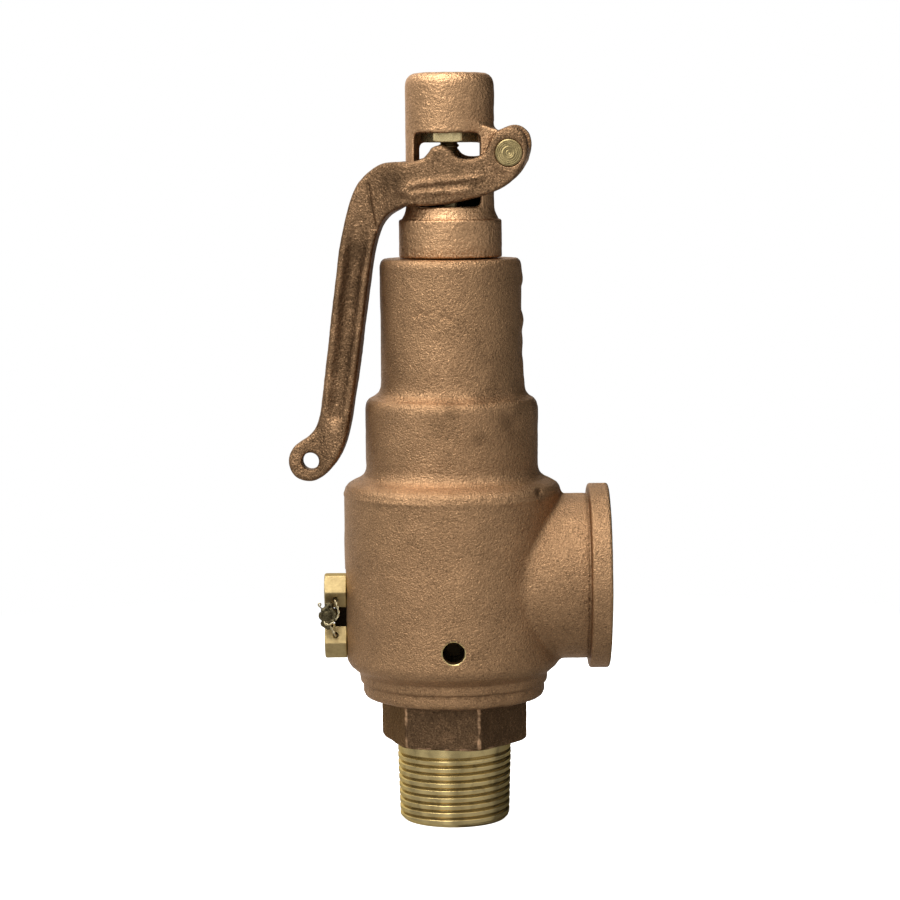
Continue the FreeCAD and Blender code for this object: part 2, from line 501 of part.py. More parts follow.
# ---------------------------------------------------------------- sealing wire and lead seal
seal_at = Vector(-36.7, -4.8, 61.5)
seal = new_body("lead_seal")
primitive(seal, "AdditiveCylinder", "Slug", "XZ_Plane", (seal_at.x, seal_at.z, -seal_at.y), Radius=D.seal_radius,
          Height=D.seal_thick)
parts.append(seal)


def rounded_path(pts, radius):
    edges, last = [], pts[0]
    for a, b, c2 in zip(pts, pts[1:], pts[2:]):
        u, v = (a - b).normalize(), (c2 - b).normalize()
        half = u.getAngle(v) / 2.0
        back = radius / math.tan(half)
        p, q = b + u * back, b + v * back
        centre = b + (u + v).normalize() * (radius / math.sin(half))
        mid = centre + (b - centre).normalize() * radius
        edges.append(Part.LineSegment(last, p).toShape())
        edges.append(Part.Arc(p, mid, q).toShape())
        last = q
    edges.append(Part.LineSegment(last, pts[-1]).toShape())
    return Part.Wire(edges)


path_pts = [Vector(-36.2, -6.0, 61.9), Vector(-34.6, -6.7, 65.9), Vector(-34.6, 6.7, 65.9), Vector(-34.6, 6.7, 55.3),
            Vector(-34.6, -6.7, 55.3), Vector(-36.8, -6.0, 60.9)]
route = rounded_path(path_pts, 0.9)
ring0 = Part.Wire([Part.makeCircle(sv("wire_radius"), path_pts[0], path_pts[1] - path_pts[0])])
wire = doc.addObject("Part::Feature", "seal_wire")
wire.Label = "seal_wire"
wire.Shape = Part.Wire(route).makePipeShell([ring0], True, False, 1)
wire.Placement = Placement(Vector(0, 0, 0), Rotation())
parts.append(wire)

# ---------------------------------------------------------------- recompute, test and write
doc.recompute()
bad = [o.Name for o in doc.Objects if any(s in ("Invalid", "Error") for s in o.State)]
if bad:
    raise RuntimeError("failed objects: " + ", ".join(bad))
if len({p.Label for p in parts}) != len(parts):
    raise RuntimeError("labels repeat")
for p in parts:
    s = p.Shape
    if s.isNull() or not s.isValid() or not s.Solids or s.Volume <= 0:
        raise RuntimeError("bad shape: " + p.Label)
    print("%-24s %d solid  %9.1f mm3  valid %s" % (p.Label, len(s.Solids), s.Volume, s.isValid()))
for p in parts:
    p.Shape.exportStep("parts/%s.step" % p.Label)
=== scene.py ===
import bpy, json, math, time
import numpy as np
from mathutils import Matrix, Vector
from concurrent.futures import ThreadPoolExecutor


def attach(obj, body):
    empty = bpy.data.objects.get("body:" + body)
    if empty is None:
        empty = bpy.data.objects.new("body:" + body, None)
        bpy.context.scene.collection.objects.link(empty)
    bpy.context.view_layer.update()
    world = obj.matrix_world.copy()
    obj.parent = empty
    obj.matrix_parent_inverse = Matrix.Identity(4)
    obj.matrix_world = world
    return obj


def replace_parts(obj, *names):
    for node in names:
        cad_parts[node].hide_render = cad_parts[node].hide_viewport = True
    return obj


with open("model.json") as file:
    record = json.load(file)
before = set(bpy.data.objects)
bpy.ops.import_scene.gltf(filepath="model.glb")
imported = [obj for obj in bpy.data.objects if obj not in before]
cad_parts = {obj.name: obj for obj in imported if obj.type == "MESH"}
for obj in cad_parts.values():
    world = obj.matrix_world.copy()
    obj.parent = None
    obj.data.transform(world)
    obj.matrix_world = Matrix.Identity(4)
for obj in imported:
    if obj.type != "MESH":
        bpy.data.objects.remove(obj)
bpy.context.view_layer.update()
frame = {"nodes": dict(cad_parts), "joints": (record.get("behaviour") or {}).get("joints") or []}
nodes = frame["nodes"]

MM = 0.001
TURN = math.radians(-4.3)          # cap, lever and pin are turned this much about Z
HINGE = next(j for j in frame["joints"] if j["name"] == "lever_hinge")


# =====================================================================  meshing of distance fields (mm)
def smin(a, b, k):
    t = np.clip(0.5 + 0.5 * (b - a) / k, 0, 1)
    return b + (a - b) * t - k * t * (1 - t)


def smax(a, b, k):
    return -smin(-a, -b, k)


def polygon_distance(pts, u, v):
    """Signed distance (negative inside) from points (u, v) to a closed polygon."""
    pts = np.asarray(pts, float)
    best = np.full(u.shape, 1e9, np.float32)
    inside = np.zeros(u.shape, bool)
    for (ax, ay), (bx, by) in zip(pts, np.roll(pts, -1, 0)):
        ex, ey = bx - ax, by - ay
        wx, wy = u - ax, v - ay
        t = np.clip((wx * ex + wy * ey) / max(ex * ex + ey * ey, 1e-12), 0, 1)
        dx, dy = wx - t * ex, wy - t * ey
        best = np.minimum(best, dx * dx + dy * dy)
        if abs(ey) > 1e-12:
            hit = (ay > v) != (by > v)
            inside ^= hit & (u < ex * (v - ay) / ey + ax)
    d = np.sqrt(best)
    return np.where(inside, -d, d)


class Field:
    """Signed distance of a plane outline, tabulated and read back bilinearly; soft rounds its corners."""

    def __init__(self, pts, step=0.12, pad=4.0, soft=0.0):
        p = np.asarray(pts, float)
        self.lo = p.min(0) - pad
        n = np.ceil((p.max(0) + pad - self.lo) / step).astype(int) + 2
        self.step, self.n = step, n
        u = self.lo[0] + np.arange(n[0]) * step
        v = self.lo[1] + np.arange(n[1]) * step
        U, V = np.meshgrid(u, v, indexing="ij")
        g = polygon_distance(p, U.ravel(), V.ravel()).reshape(n)
        k = int(round(soft / step))
        if k > 0:
            w = np.hanning(2 * k + 3)[1:-1]
            w /= w.sum()
            for axis in (0, 1):
                q = np.pad(g, [(k, k) if a == axis else (0, 0) for a in (0, 1)], mode="edge")
                g = sum(w[i] * (q[i:i + n[0], :] if axis == 0 else q[:, i:i + n[1]]) for i in range(2 * k + 1))
        self.g = g.astype(np.float32)

    def __call__(self, u, v):
        a = (u - self.lo[0]) / self.step
        b = (v - self.lo[1]) / self.step
        ac, bc = np.clip(a, 0, self.n[0] - 1.001), np.clip(b, 0, self.n[1] - 1.001)
        i, j = ac.astype(np.int32), bc.astype(np.int32)
        s, t = ac - i, bc - j
        g = self.g
        out = (g[i, j] * (1 - s) + g[i + 1, j] * s) * (1 - t) + (g[i, j + 1] * (1 - s) + g[i + 1, j + 1] * s) * t
        return out + np.hypot(a - ac, b - bc) * self.step


POOL = ThreadPoolExecutor(4)


def ev(f, p, rows=24000):
    """f over many points, in pieces, on all cores."""
    if len(p) <= rows:
        return f(p)
    cuts = [p[i:i + rows] for i in range(0, len(p), rows)]
    return np.concatenate(list(POOL.map(f, cuts)))


def surface_nets(f, lo, hi, h, block=8):
    """Closed quad mesh of f = 0 (f < 0 inside), evaluated only in blocks near the surface."""
    lo = np.asarray(lo, float) - 2 * h
    n = (np.ceil((np.asarray(hi, float) + 2 * h - lo) / h).astype(int) // block + 1) * block
    nb = n // block
    ci = np.stack(np.meshgrid(*[np.arange(k) for k in nb], indexing="ij"), -1).reshape(-1, 3)
    centre = lo + (ci * block + (block - 1) / 2) * h
    dc = ev(f, centre)
    reach = block * h * 0.5 * math.sqrt(3) * 1.15 + 2 * h
    vals = np.repeat(np.repeat(np.repeat(dc.reshape(nb), block, 0), block, 1), block, 2).astype(np.float32)
    off = np.stack(np.meshgrid(*[np.arange(block)] * 3, indexing="ij"), -1).reshape(-1, 3)
    active = ci[np.abs(dc) < reach]
    for s in range(0, len(active), 1024):
        part = active[s:s + 1024]
        idx = (part[:, None, :] * block + off[None]).reshape(-1, 3)
        vals[idx[:, 0], idx[:, 1], idx[:, 2]] = ev(f, lo + idx * h)
    inside = vals < 0
    c = [inside[dx:n[0] - 1 + dx, dy:n[1] - 1 + dy, dz:n[2] - 1 + dz] for dx in (0, 1) for dy in (0, 1) for dz in (0, 1)]
    allin, anyin = c[0].copy(), c[0].copy()
    for q in c[1:]:
        allin &= q
        anyin |= q
    cells = np.argwhere(anyin & ~allin)
    index = np.full((n[0] - 1, n[1] - 1, n[2] - 1), -1, np.int32)
    index[cells[:, 0], cells[:, 1], cells[:, 2]] = np.arange(len(cells))
    corner = np.array([(x, y, z) for x in (0, 1) for y in (0, 1) for z in (0, 1)])
    cv = np.stack([vals[cells[:, 0] + x, cells[:, 1] + y, cells[:, 2] + z] for x, y, z in corner], 1).astype(float)
    total, count = np.zeros((len(cells), 3)), np.zeros(len(cells))
    for a in range(8):
        for b in range(a + 1, 8):
            if np.abs(corner[a] - corner[b]).sum() != 1:
                continue
            cross = (cv[:, a] < 0) != (cv[:, b] < 0)
            t = cv[cross, a] / (cv[cross, a] - cv[cross, b])
            total[cross] += corner[a] + t[:, None] * (corner[b] - corner[a])
            count[cross] += 1
    verts = lo + (cells + total / count[:, None]) * h
    quads = []
    for axis in range(3):
        u, v = (axis + 1) % 3, (axis + 2) % 3
        sl0 = [slice(1, n[k] - 1) for k in range(3)]
        sl1 = list(sl0)
        sl0[axis], sl1[axis] = slice(0, n[axis] - 1), slice(1, n[axis])
        change = inside[tuple(sl0)] != inside[tuple(sl1)]
        e = np.argwhere(change)
        base = e.copy()
        for k in range(3):
            if k != axis:
                base[:, k] += 1
        first_in = inside[base[:, 0], base[:, 1], base[:, 2]]
        du, dv = np.zeros(3, int), np.zeros(3, int)
        du[u], dv[v] = 1, 1
        ring = [base - du - dv, base - dv, base, base - du]
        q = np.stack([index[r[:, 0], r[:, 1], r[:, 2]] for r in ring], 1)
        q[~first_in] = q[~first_in][:, ::-1]
        quads.append(q)
    quads = np.concatenate(quads)
    quads = quads[(quads >= 0).all(1)]
    return verts, quads


def gradient(f, p, e=0.05):
    g = np.empty_like(p)
    for k in range(3):
        d = np.zeros(3)
        d[k] = e
        g[:, k] = (ev(f, p + d) - ev(f, p - d)) / (2 * e)
    return g


def settle(f, p, steps=2):
    """Moves vertices onto the surface and returns them with their outward normals."""
    for _ in range(steps):
        g = gradient(f, p)
        m = np.maximum((g * g).sum(1), 0.25)
        p = p - np.clip(ev(f, p) / m, -0.35, 0.35)[:, None] * g
    g = gradient(f, p)
    return p, g / np.maximum(np.linalg.norm(g, axis=1), 1e-6)[:, None]


LATTICE = np.random.default_rng(11).uniform(-1, 1, 64 ** 3).astype(np.float32)


def noise(p, scale, seed=0):
    """Smooth value noise in -1..1, one bump about every scale mm."""
    q = p * (1.0 / scale) + (seed * 7.31, seed * 3.17, seed * 5.77)
    i = np.floor(q).astype(np.int32)
    t = (q - i).astype(np.float32)
    t = t * t * (3 - 2 * t)
    i &= 63
    j = (i + 1) & 63
    x0, x1, y0, y1, z0, z1 = i[:, 0] << 12, j[:, 0] << 12, i[:, 1] << 6, j[:, 1] << 6, i[:, 2], j[:, 2]
    tx, ty, tz = t[:, 0], t[:, 1], t[:, 2]
    L = LATTICE
    a = L[x0 + y0 + z0] * (1 - tx) + L[x1 + y0 + z0] * tx
    b = L[x0 + y1 + z0] * (1 - tx) + L[x1 + y1 + z0] * tx
    c = L[x0 + y0 + z1] * (1 - tx) + L[x1 + y0 + z1] * tx
    d = L[x0 + y1 + z1] * (1 - tx) + L[x1 + y1 + z1] * tx
    return (a * (1 - ty) + b * ty) * (1 - tz) + (c * (1 - ty) + d * ty) * tz


def make_object(name, verts, faces, body, mats, turn=False, smooth=True, face_mats=None):
    verts = np.asarray(verts, float)
    if turn:
        c, s = math.cos(TURN), math.sin(TURN)
        verts = np.stack([verts[:, 0] * c - verts[:, 1] * s, verts[:, 0] * s + verts[:, 1] * c, verts[:, 2]], 1)
    me = bpy.data.meshes.new(name)
    if isinstance(faces, np.ndarray):
        me.vertices.add(len(verts))
        me.vertices.foreach_set("co", (verts * MM).astype(np.float32).ravel())
        k = faces.shape[1]
        me.loops.add(faces.size)
        me.polygons.add(len(faces))
        me.loops.foreach_set("vertex_index", faces.astype(np.int32).ravel())
        me.polygons.foreach_set("loop_start", np.arange(0, faces.size, k, dtype=np.int32))
        me.update(calc_edges=True)
        me.validate()
    else:
        me.from_pydata([tuple(v * MM) for v in verts], [], [tuple(int(i) for i in f) for f in faces])
    me.polygons.foreach_set("use_smooth", [smooth] * len(me.polygons))
    for m in (mats if isinstance(mats, (list, tuple)) else [mats]):
        me.materials.append(m)
    if face_mats is not None:
        me.polygons.foreach_set("material_index", np.asarray(face_mats, np.int32))
    me.update()
    ob = bpy.data.objects.new(name, me)
    bpy.context.scene.collection.objects.link(ob)
    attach(ob, body)
    return ob


def loop_spline(pts, sub=6):
    """Closed curve through pts, sampled sub times between neighbours."""
    p = np.asarray(pts, float)
    n, out = len(p), []
    for i in range(n):
        a, b, c, d = p[i - 1], p[i], p[(i + 1) % n], p[(i + 2) % n]
        for t in np.arange(sub) / sub:
            out.append(0.5 * (2 * b + (c - a) * t + (2 * a - 5 * b + 4 * c - d) * t ** 2 + (3 * b - a - 3 * c + d) * t ** 3))
    return np.array(out)


def hollow_and_wear(f, p, n, reach=(0.8, 1.8, 4.0, 8.0)):
    """How enclosed each point is (0..1) and how sharply convex (0..1), from the distance field."""
    shut, w = 0, 0
    for k in reach:
        shut = shut + np.clip(1 - ev(f, p + n * k) / k, 0, 1) / k ** 0.5
        w += 1 / k ** 0.5
    wear = np.clip((ev(f, p - n * 0.9) + 0.9) / 0.9, 0, 1)
    return np.clip(shut / w, 0, 1), wear


def paint(ob, name, values):
    a = ob.data.attributes.new(name, "FLOAT", "POINT")
    a.data.foreach_set("value", np.asarray(values, np.float32))


def from_field(name, f, lo, hi, h, body, mats, turn=False, block=8, steps=2, pick=None, wear_gain=1.0):
    t0 = time.time()
    v, q = surface_nets(f, lo, hi, h, block)
    v, n = settle(f, v, steps)
    ob = make_object(name, v, q, body, mats, turn, face_mats=None if pick is None else pick(v[q].mean(1)))
    hollow, wear = hollow_and_wear(f, v, n)
    paint(ob, "hollow", hollow)
    paint(ob, "wear", wear * wear_gain)
    print("field", name, len(v), round(time.time() - t0, 1))
    return ob


def lathe(name, profile, body, mats, turns=96, axis="Z", at=(0, 0), turn=False, close=True):
    """Solid of revolution from (radius, height) pairs, its two ends closed on the axis where the radius is 0."""
    prof = np.asarray(profile, float)
    n, k = len(prof), turns
    a = np.arange(k) * 2 * math.pi / k
    c, s = np.cos(a), np.sin(a)
    r, z = prof[:, 0][:, None], prof[:, 1][:, None]
    if axis == "Z":
        v = np.stack([r * c + at[0], r * s + at[1], z + 0 * c], -1).reshape(-1, 3)
    else:                                            # about a line along Y through (x, z) = at
        v = np.stack([r * c + at[0], z + 0 * c, -r * s + at[1]], -1).reshape(-1, 3)
    i, j = np.meshgrid(np.arange(n - 1), np.arange(k), indexing="ij")
    jn = (j + 1) % k
    q = np.stack([i * k + j, i * k + jn, (i + 1) * k + jn, (i + 1) * k + j], -1).reshape(-1, 4)
    if close == "ring":
        j = np.arange(k)
        q = np.concatenate([q, np.stack([(n - 1) * k + j, (n - 1) * k + (j + 1) % k, (j + 1) % k, j], -1)])
    return make_object(name, v, q, body, mats, turn)


# =====================================================================  materials
def node_material(name):
    m = bpy.data.materials.new(name)
    m.use_nodes = True
    nt = m.node_tree
    nt.nodes.clear()
    out = nt.nodes.new("ShaderNodeOutputMaterial")
    sh = nt.nodes.new("ShaderNodeBsdfPrincipled")
    nt.links.new(sh.outputs[0], out.inputs[0])
    return m, nt, sh


class Net:
    """Short hands for building node trees."""

    def __init__(self, nt):
        self.nt = nt
        tc = nt.nodes.new("ShaderNodeTexCoord")
        sc = nt.nodes.new("ShaderNodeVectorMath")
        sc.operation = "SCALE"
        sc.inputs["Scale"].default_value = 1000.0
        nt.links.new(tc.outputs["Object"], sc.inputs[0])
        self.mm = sc.outputs[0]

    def put(self, socket, value):
        if isinstance(value, bpy.types.NodeSocket):
            self.nt.links.new(value, socket)
        else:
            socket.default_value = value

    def noise(self, size, detail=3.0, rough=0.5, distort=0.0, vec=None):
        n = self.nt.nodes.new("ShaderNodeTexNoise")
        self.put(n.inputs["Vector"], vec or self.mm)
        n.inputs["Scale"].default_value = 1.0 / size
        n.inputs["Detail"].default_value = detail
        n.inputs["Roughness"].default_value = rough
        n.inputs["Distortion"].default_value = distort
        return n.outputs[0]

    def cells(self, size, vec=None, feature="F1"):
        n = self.nt.nodes.new("ShaderNodeTexVoronoi")
        n.feature = feature
        self.put(n.inputs["Vector"], vec or self.mm)
        n.inputs["Scale"].default_value = 1.0 / size
        return n.outputs["Distance"]

    def math(self, op, a, b=0.0, clamp=False):
        n = self.nt.nodes.new("ShaderNodeMath")
        n.operation = op
        n.use_clamp = clamp
        self.put(n.inputs[0], a)
        self.put(n.inputs[1], b)
        return n.outputs[0]

    def span(self, v, a, b, c=0.0, d=1.0, smooth=False):
        n = self.nt.nodes.new("ShaderNodeMapRange")
        if smooth:
            n.interpolation_type = "SMOOTHSTEP"
        for s, x in zip(("Value", "From Min", "From Max", "To Min", "To Max"), (v, a, b, c, d)):
            self.put(n.inputs[s], x)
        return n.outputs[0]

    def mix(self, t, a, b, mode="MIX"):
        n = self.nt.nodes.new("ShaderNodeMix")
        n.data_type = "RGBA"
        n.blend_type = mode
        n.clamp_factor = True
        self.put(n.inputs[0], t)
        self.put(n.inputs[6], a)
        self.put(n.inputs[7], b)
        return n.outputs[2]

    def attr(self, name):
        n = self.nt.nodes.new("ShaderNodeAttribute")
        n.attribute_name = name
        return n.outputs["Fac"]

    def xyz(self, vec=None):
        n = self.nt.nodes.new("ShaderNodeSeparateXYZ")
        self.put(n.inputs[0], vec or self.mm)
        return n.outputs

    def bump(self, height, distance, strength=1.0):
        n = self.nt.nodes.new("ShaderNodeBump")
        n.inputs["Distance"].default_value = distance
        n.inputs["Strength"].default_value = strength
        self.put(n.inputs["Height"], height)
        return n.outputs[0]


def rgb(r, g, b):
    return (r, g, b, 1.0)


def cast(name, dark, mid, light, grain=0.55, coarse=1.7, relief=0.00026, rough=(0.42, 0.62), hollow_shade=0.55,
         worn=0.5, pits=0.35, speck=0.5, blotch=9.0, wrinkle=0.30,
         edge=(0.93, 0.84, 0.76), bright=1.0):
    """Sand-cast copper alloy: mottled tone, sandy grain, painted shade in hollows, rubbed bright on edges."""
    m, nt, sh = node_material(name)
    k = Net(nt)
    big = k.noise(blotch, 3.0, 0.5, 0.4)
    med = k.noise(coarse, 3.0, 0.6)
    fine = k.noise(grain, 2.0, 0.7)
    pit = k.span(k.cells(2.6), 0.0, 0.30, 1.0, 0.0, True)
    few = k.span(k.noise(6.0, 2.0), 0.52, 0.66, 0.0, 1.0, True)
    pit = k.math("MULTIPLY", pit, few)
    tone = k.math("ADD", k.math("MULTIPLY", big, 0.30), k.math("MULTIPLY", med, 0.28))
    tone = k.math("ADD", tone, k.math("MULTIPLY", fine, 0.42))
    low = k.span(tone, 0.34, 0.50, 0.0, 1.0, True)
    high = k.span(tone, 0.50, 0.64, 0.0, 1.0, True)
    col = k.mix(low, rgb(*dark), rgb(*mid))
    col = k.mix(high, col, rgb(*light))
    dots = k.span(fine, 0.58, 0.74, 0.0, speck, True)
    col = k.mix(dots, col, rgb(*[min(1, c * 1.35) for c in light]))
    holes = k.span(fine, 0.42, 0.26, 0.0, speck * 0.8, True)
    col = k.mix(holes, col, rgb(*[c * 0.45 for c in dark]))
    col = k.mix(k.math("MULTIPLY", pit, pits), col, rgb(*[c * 0.35 for c in dark]))
    # painted shade: the colour darkens towards near black where the hollow attribute says the surface is enclosed
    hollow = k.attr("hollow")
    shade = k.math("MULTIPLY", k.span(hollow, 0.16, 0.75, 0.0, hollow_shade, True), k.span(med, 0.2, 0.8, 0.75, 1.1))
    col = k.mix(shade, col, rgb(dark[0] * 0.30, dark[1] * 0.27, dark[2] * 0.25))
    wear = k.attr("wear")
    rub = k.math("MULTIPLY", k.span(wear, 0.28, 0.80, 0.0, worn, True), k.span(med, 0.35, 0.62, 0.35, 1.0))
    col = k.mix(rub, col, rgb(min(1, light[0] * 1.30 * bright), min(1, light[1] * 1.34 * bright), min(1, light[2] * 1.42 * bright)))
    nt.links.new(col, sh.inputs["Base Color"])
    sh.inputs["Metallic"].default_value = 1.0
    sh.inputs["Specular Tint"].default_value = rgb(*edge)
    rr = k.math("ADD", k.math("MULTIPLY", fine, 0.6), k.math("MULTIPLY", med, 0.4))
    rr = k.span(rr, 0.3, 0.7, rough[1], rough[0])
    rr = k.math("SUBTRACT", rr, k.math("MULTIPLY", rub, 0.10))
    nt.links.new(rr, sh.inputs["Roughness"])
    hgt = k.math("ADD", k.math("MULTIPLY", fine, 1.0), k.math("MULTIPLY", med, wrinkle))
    hgt = k.math("SUBTRACT", hgt, k.math("MULTIPLY", pit, 0.9 * pits))
    hgt = k.math("SUBTRACT", hgt, k.math("MULTIPLY", k.cells(grain * 1.9), 0.35))
    nt.links.new(k.bump(hgt, relief), sh.inputs["Normal"])
    return m


def turned_metal(name, base, dark, rough=(0.20, 0.34), axis="Z", centre=(0, 0), lines=0.16, relief=0.000012, tarnish=0.5,
                 metallic=1.0, streak=0.25):
    """Machined metal: fine tool lines round the axis, faint tarnish, small nicks, painted shade in hollows."""
    m, nt, sh = node_material(name)
    k = Net(nt)
    o = k.xyz()
    if axis == "Z":
        comb = nt.nodes.new("ShaderNodeCombineXYZ")
        nt.links.new(k.math("MULTIPLY", o[0], 0.03), comb.inputs[0])
        nt.links.new(k.math("MULTIPLY", o[1], 0.03), comb.inputs[1])
        nt.links.new(o[2], comb.inputs[2])
        line = k.noise(lines, 2.0, 0.6, 0.0, comb.outputs[0])
    else:
        line = k.noise(lines * 2.5, 3.0, 0.7)
    spots = k.noise(3.2, 4.0, 0.6, 0.5)
    fine = k.noise(0.5, 2.0, 0.6)
    t = k.math("MULTIPLY", k.span(spots, 0.46, 0.68, 0.0, 1.0, True), tarnish)
    t = k.math("ADD", t, k.math("MULTIPLY", k.span(line, 0.45, 0.7), streak))
    # painted shade: darkens towards near black where the hollow attribute is high, as in thread roots
    hollow = k.span(k.attr("hollow"), 0.2, 0.85, 0.0, 0.75, True)
    col = k.mix(t, rgb(*base), rgb(*dark))
    col = k.mix(hollow, col, rgb(*[c * 0.30 for c in dark]))
    nt.links.new(col, sh.inputs["Base Color"])
    sh.inputs["Metallic"].default_value = metallic
    sh.inputs["Specular Tint"].default_value = rgb(0.84, 0.70, 0.42)
    r = k.span(k.math("ADD", k.math("MULTIPLY", line, 0.5), k.math("MULTIPLY", spots, 0.5)), 0.35, 0.65, rough[0], rough[1])
    nt.links.new(r, sh.inputs["Roughness"])
    hgt = k.math("ADD", k.math("MULTIPLY", line, 1.0), k.math("MULTIPLY", fine, 0.25))
    nt.links.new(k.bump(hgt, relief), sh.inputs["Normal"])
    return m


BODY = cast("cast_bronze_body", (0.225, 0.131, 0.067), (0.350, 0.205, 0.105), (0.47, 0.278, 0.144), worn=0.40,
            relief=0.00034, speck=1.0, rough=(0.33, 0.52), wrinkle=0.14, grain=0.43, coarse=1.3)
# the cap's own cast bronze, with tones lighter than the body's as painted light for the brighter light near the top
CAP = cast("cast_bronze_cap", (0.35, 0.205, 0.106), (0.495, 0.292, 0.152), (0.60, 0.356, 0.186), grain=0.62, coarse=1.6,
           relief=0.00031, rough=(0.31, 0.48), worn=0.40, pits=0.2, wrinkle=0.70, speck=0.6)
LEVER = cast("cast_bronze_lever", (0.100, 0.058, 0.030), (0.222, 0.130, 0.067), (0.43, 0.255, 0.134), grain=0.55,
             coarse=1.3, relief=0.00034, rough=(0.33, 0.54), hollow_shade=0.80, worn=0.50, pits=0.4, speck=1.0, blotch=6.0)
HEX = cast("cast_bronze_hexagon", (0.068, 0.039, 0.021), (0.118, 0.070, 0.037), (0.21, 0.124, 0.066), grain=0.48,
           coarse=1.0, relief=0.00024, rough=(0.44, 0.62), hollow_shade=0.5, worn=0.95, speck=0.9, pits=0.3, blotch=7.0,
           edge=(0.82, 0.64, 0.48), bright=2.3)
# near-black material that paints shade: inside the body, inside the cap, and on the stop between the screw heads
SHADE = cast("painted_shade_black", (0.012, 0.008, 0.005), (0.020, 0.013, 0.008), (0.034, 0.022, 0.013), rough=(0.6, 0.8),
             worn=0.0, pits=0.0, speck=0.2)
THREAD = turned_metal("machined_bronze_thread", (0.58, 0.447, 0.205), (0.30, 0.230, 0.108), rough=(0.15, 0.25), tarnish=0.55, metallic=0.93)
BRASS = turned_metal("machined_brass", (0.68, 0.55, 0.29), (0.46, 0.36, 0.18), rough=(0.20, 0.34), axis="none",
                     lines=0.2, tarnish=0.4, metallic=0.7)
SCREW = turned_metal("screw_brass", (0.44, 0.330, 0.155), (0.29, 0.213, 0.099), rough=(0.40, 0.55), axis="none",
                     lines=0.25, tarnish=0.35, relief=0.00002)
PIN = turned_metal("pin_brass", (0.40, 0.305, 0.140), (0.15, 0.112, 0.050), rough=(0.20, 0.30), axis="none", lines=0.2,
                   tarnish=0.6)
tan = PIN.node_tree.nodes.new("ShaderNodeTangent")
tan.direction_type = "RADIAL"
tan.axis = "Y"
for n in PIN.node_tree.nodes:
    if n.type == "BSDF_PRINCIPLED":
        n.inputs["Anisotropic"].default_value = 0.75
        PIN.node_tree.links.new(tan.outputs[0], n.inputs["Tangent"])
STEM = turned_metal("stem_brass", (0.34, 0.26, 0.14), (0.12, 0.09, 0.05), rough=(0.30, 0.45), tarnish=0.7)
# near-black brass for the inner parts, blacker still for the compression screw and nut: painted shade for the dark
# inside the body and the cap
SHADE_DIMMED_BRASS = turned_metal("shade_dimmed_inner_brass", (0.10, 0.075, 0.038), (0.04, 0.030, 0.016), rough=(0.45, 0.6), axis="none", tarnish=0.8)
SHADE_BLACKENED_BRASS = turned_metal("shade_blackened_brass", (0.055, 0.042, 0.023), (0.022, 0.017, 0.010), rough=(0.5, 0.65), axis="none", tarnish=0.8)
STEEL = turned_metal("machined_steel", (0.50, 0.49, 0.47), (0.25, 0.235, 0.215), rough=(0.26, 0.42), tarnish=0.5)
SPRING = turned_metal("spring_steel", (0.30, 0.29, 0.28), (0.12, 0.11, 0.10), rough=(0.32, 0.48), tarnish=0.6)
LEAD = cast("lead_alloy", (0.032, 0.025, 0.013), (0.080, 0.064, 0.034), (0.19, 0.155, 0.085), grain=0.4, coarse=1.0,
            relief=0.00014, rough=(0.30, 0.48), hollow_shade=0.7, worn=0.45, blotch=2.0)
WIRE = turned_metal("seal_wire", (0.56, 0.49, 0.31), (0.24, 0.20, 0.12), rough=(0.28, 0.42), axis="none", lines=0.3,
                    tarnish=0.5)


# =====================================================================  body casting
OUTER = [(-6, 36.6), (21.6, 36.6), (25.4, 36.7), (26.5, 37.3), (26.9, 38.4), (26.9, 41.0), (27.7, 41.1),
         (27.9, 43.8), (29.3, 45.0), (30.7, 46.2), (31.5, 47.5), (31.8, 48.6), (31.8, 97.3), (31.45, 98.7),
         (30.6, 99.8), (29.0, 100.7), (27.2, 101.5), (26.0, 102.5), (25.45, 103.8), (25.25, 105.0), (25.25, 122.0),
         (24.9, 123.6), (24.1, 124.7), (22.6, 125.5), (21.4, 126.6), (20.85, 128.1), (20.65, 130.0), (20.65, 163.4),
         (20.25, 164.7), (19.35, 165.6), (11.8, 165.6), (11.8, 171.5), (-6, 171.5)]
INNER = [(-6, 25.0), (18.05, 25.0), (18.05, 45.6), (27.3, 45.6), (27.3, 96.8), (24.4, 99.0), (16.05, 99.0),
         (16.05, 104.0), (20.8, 105.6), (20.8, 119.6), (16.4, 124.2), (16.4, 160.6), (14.0, 163.0), (6.65, 163.0),
         (6.65, 180.0), (-6, 180.0)]
OUT_Z, FACE_X, BORE_X = 71.9, 45.8, 27.8
f_outer = Field(OUTER, step=0.12, pad=9, soft=0.36)
f_inner = Field(INNER, step=0.15, pad=9, soft=0.35)


def hexagon(u, v, corner, turn):
    """Signed distance to a hexagon with a corner at angle turn (degrees)."""
    d = None
    for i in range(6):
        a = math.radians(turn + 30 + 60 * i)
        e = u * math.cos(a) + v * math.sin(a) - corner * math.cos(math.radians(30))
        d = e if d is None else np.maximum(d, e)
    return d


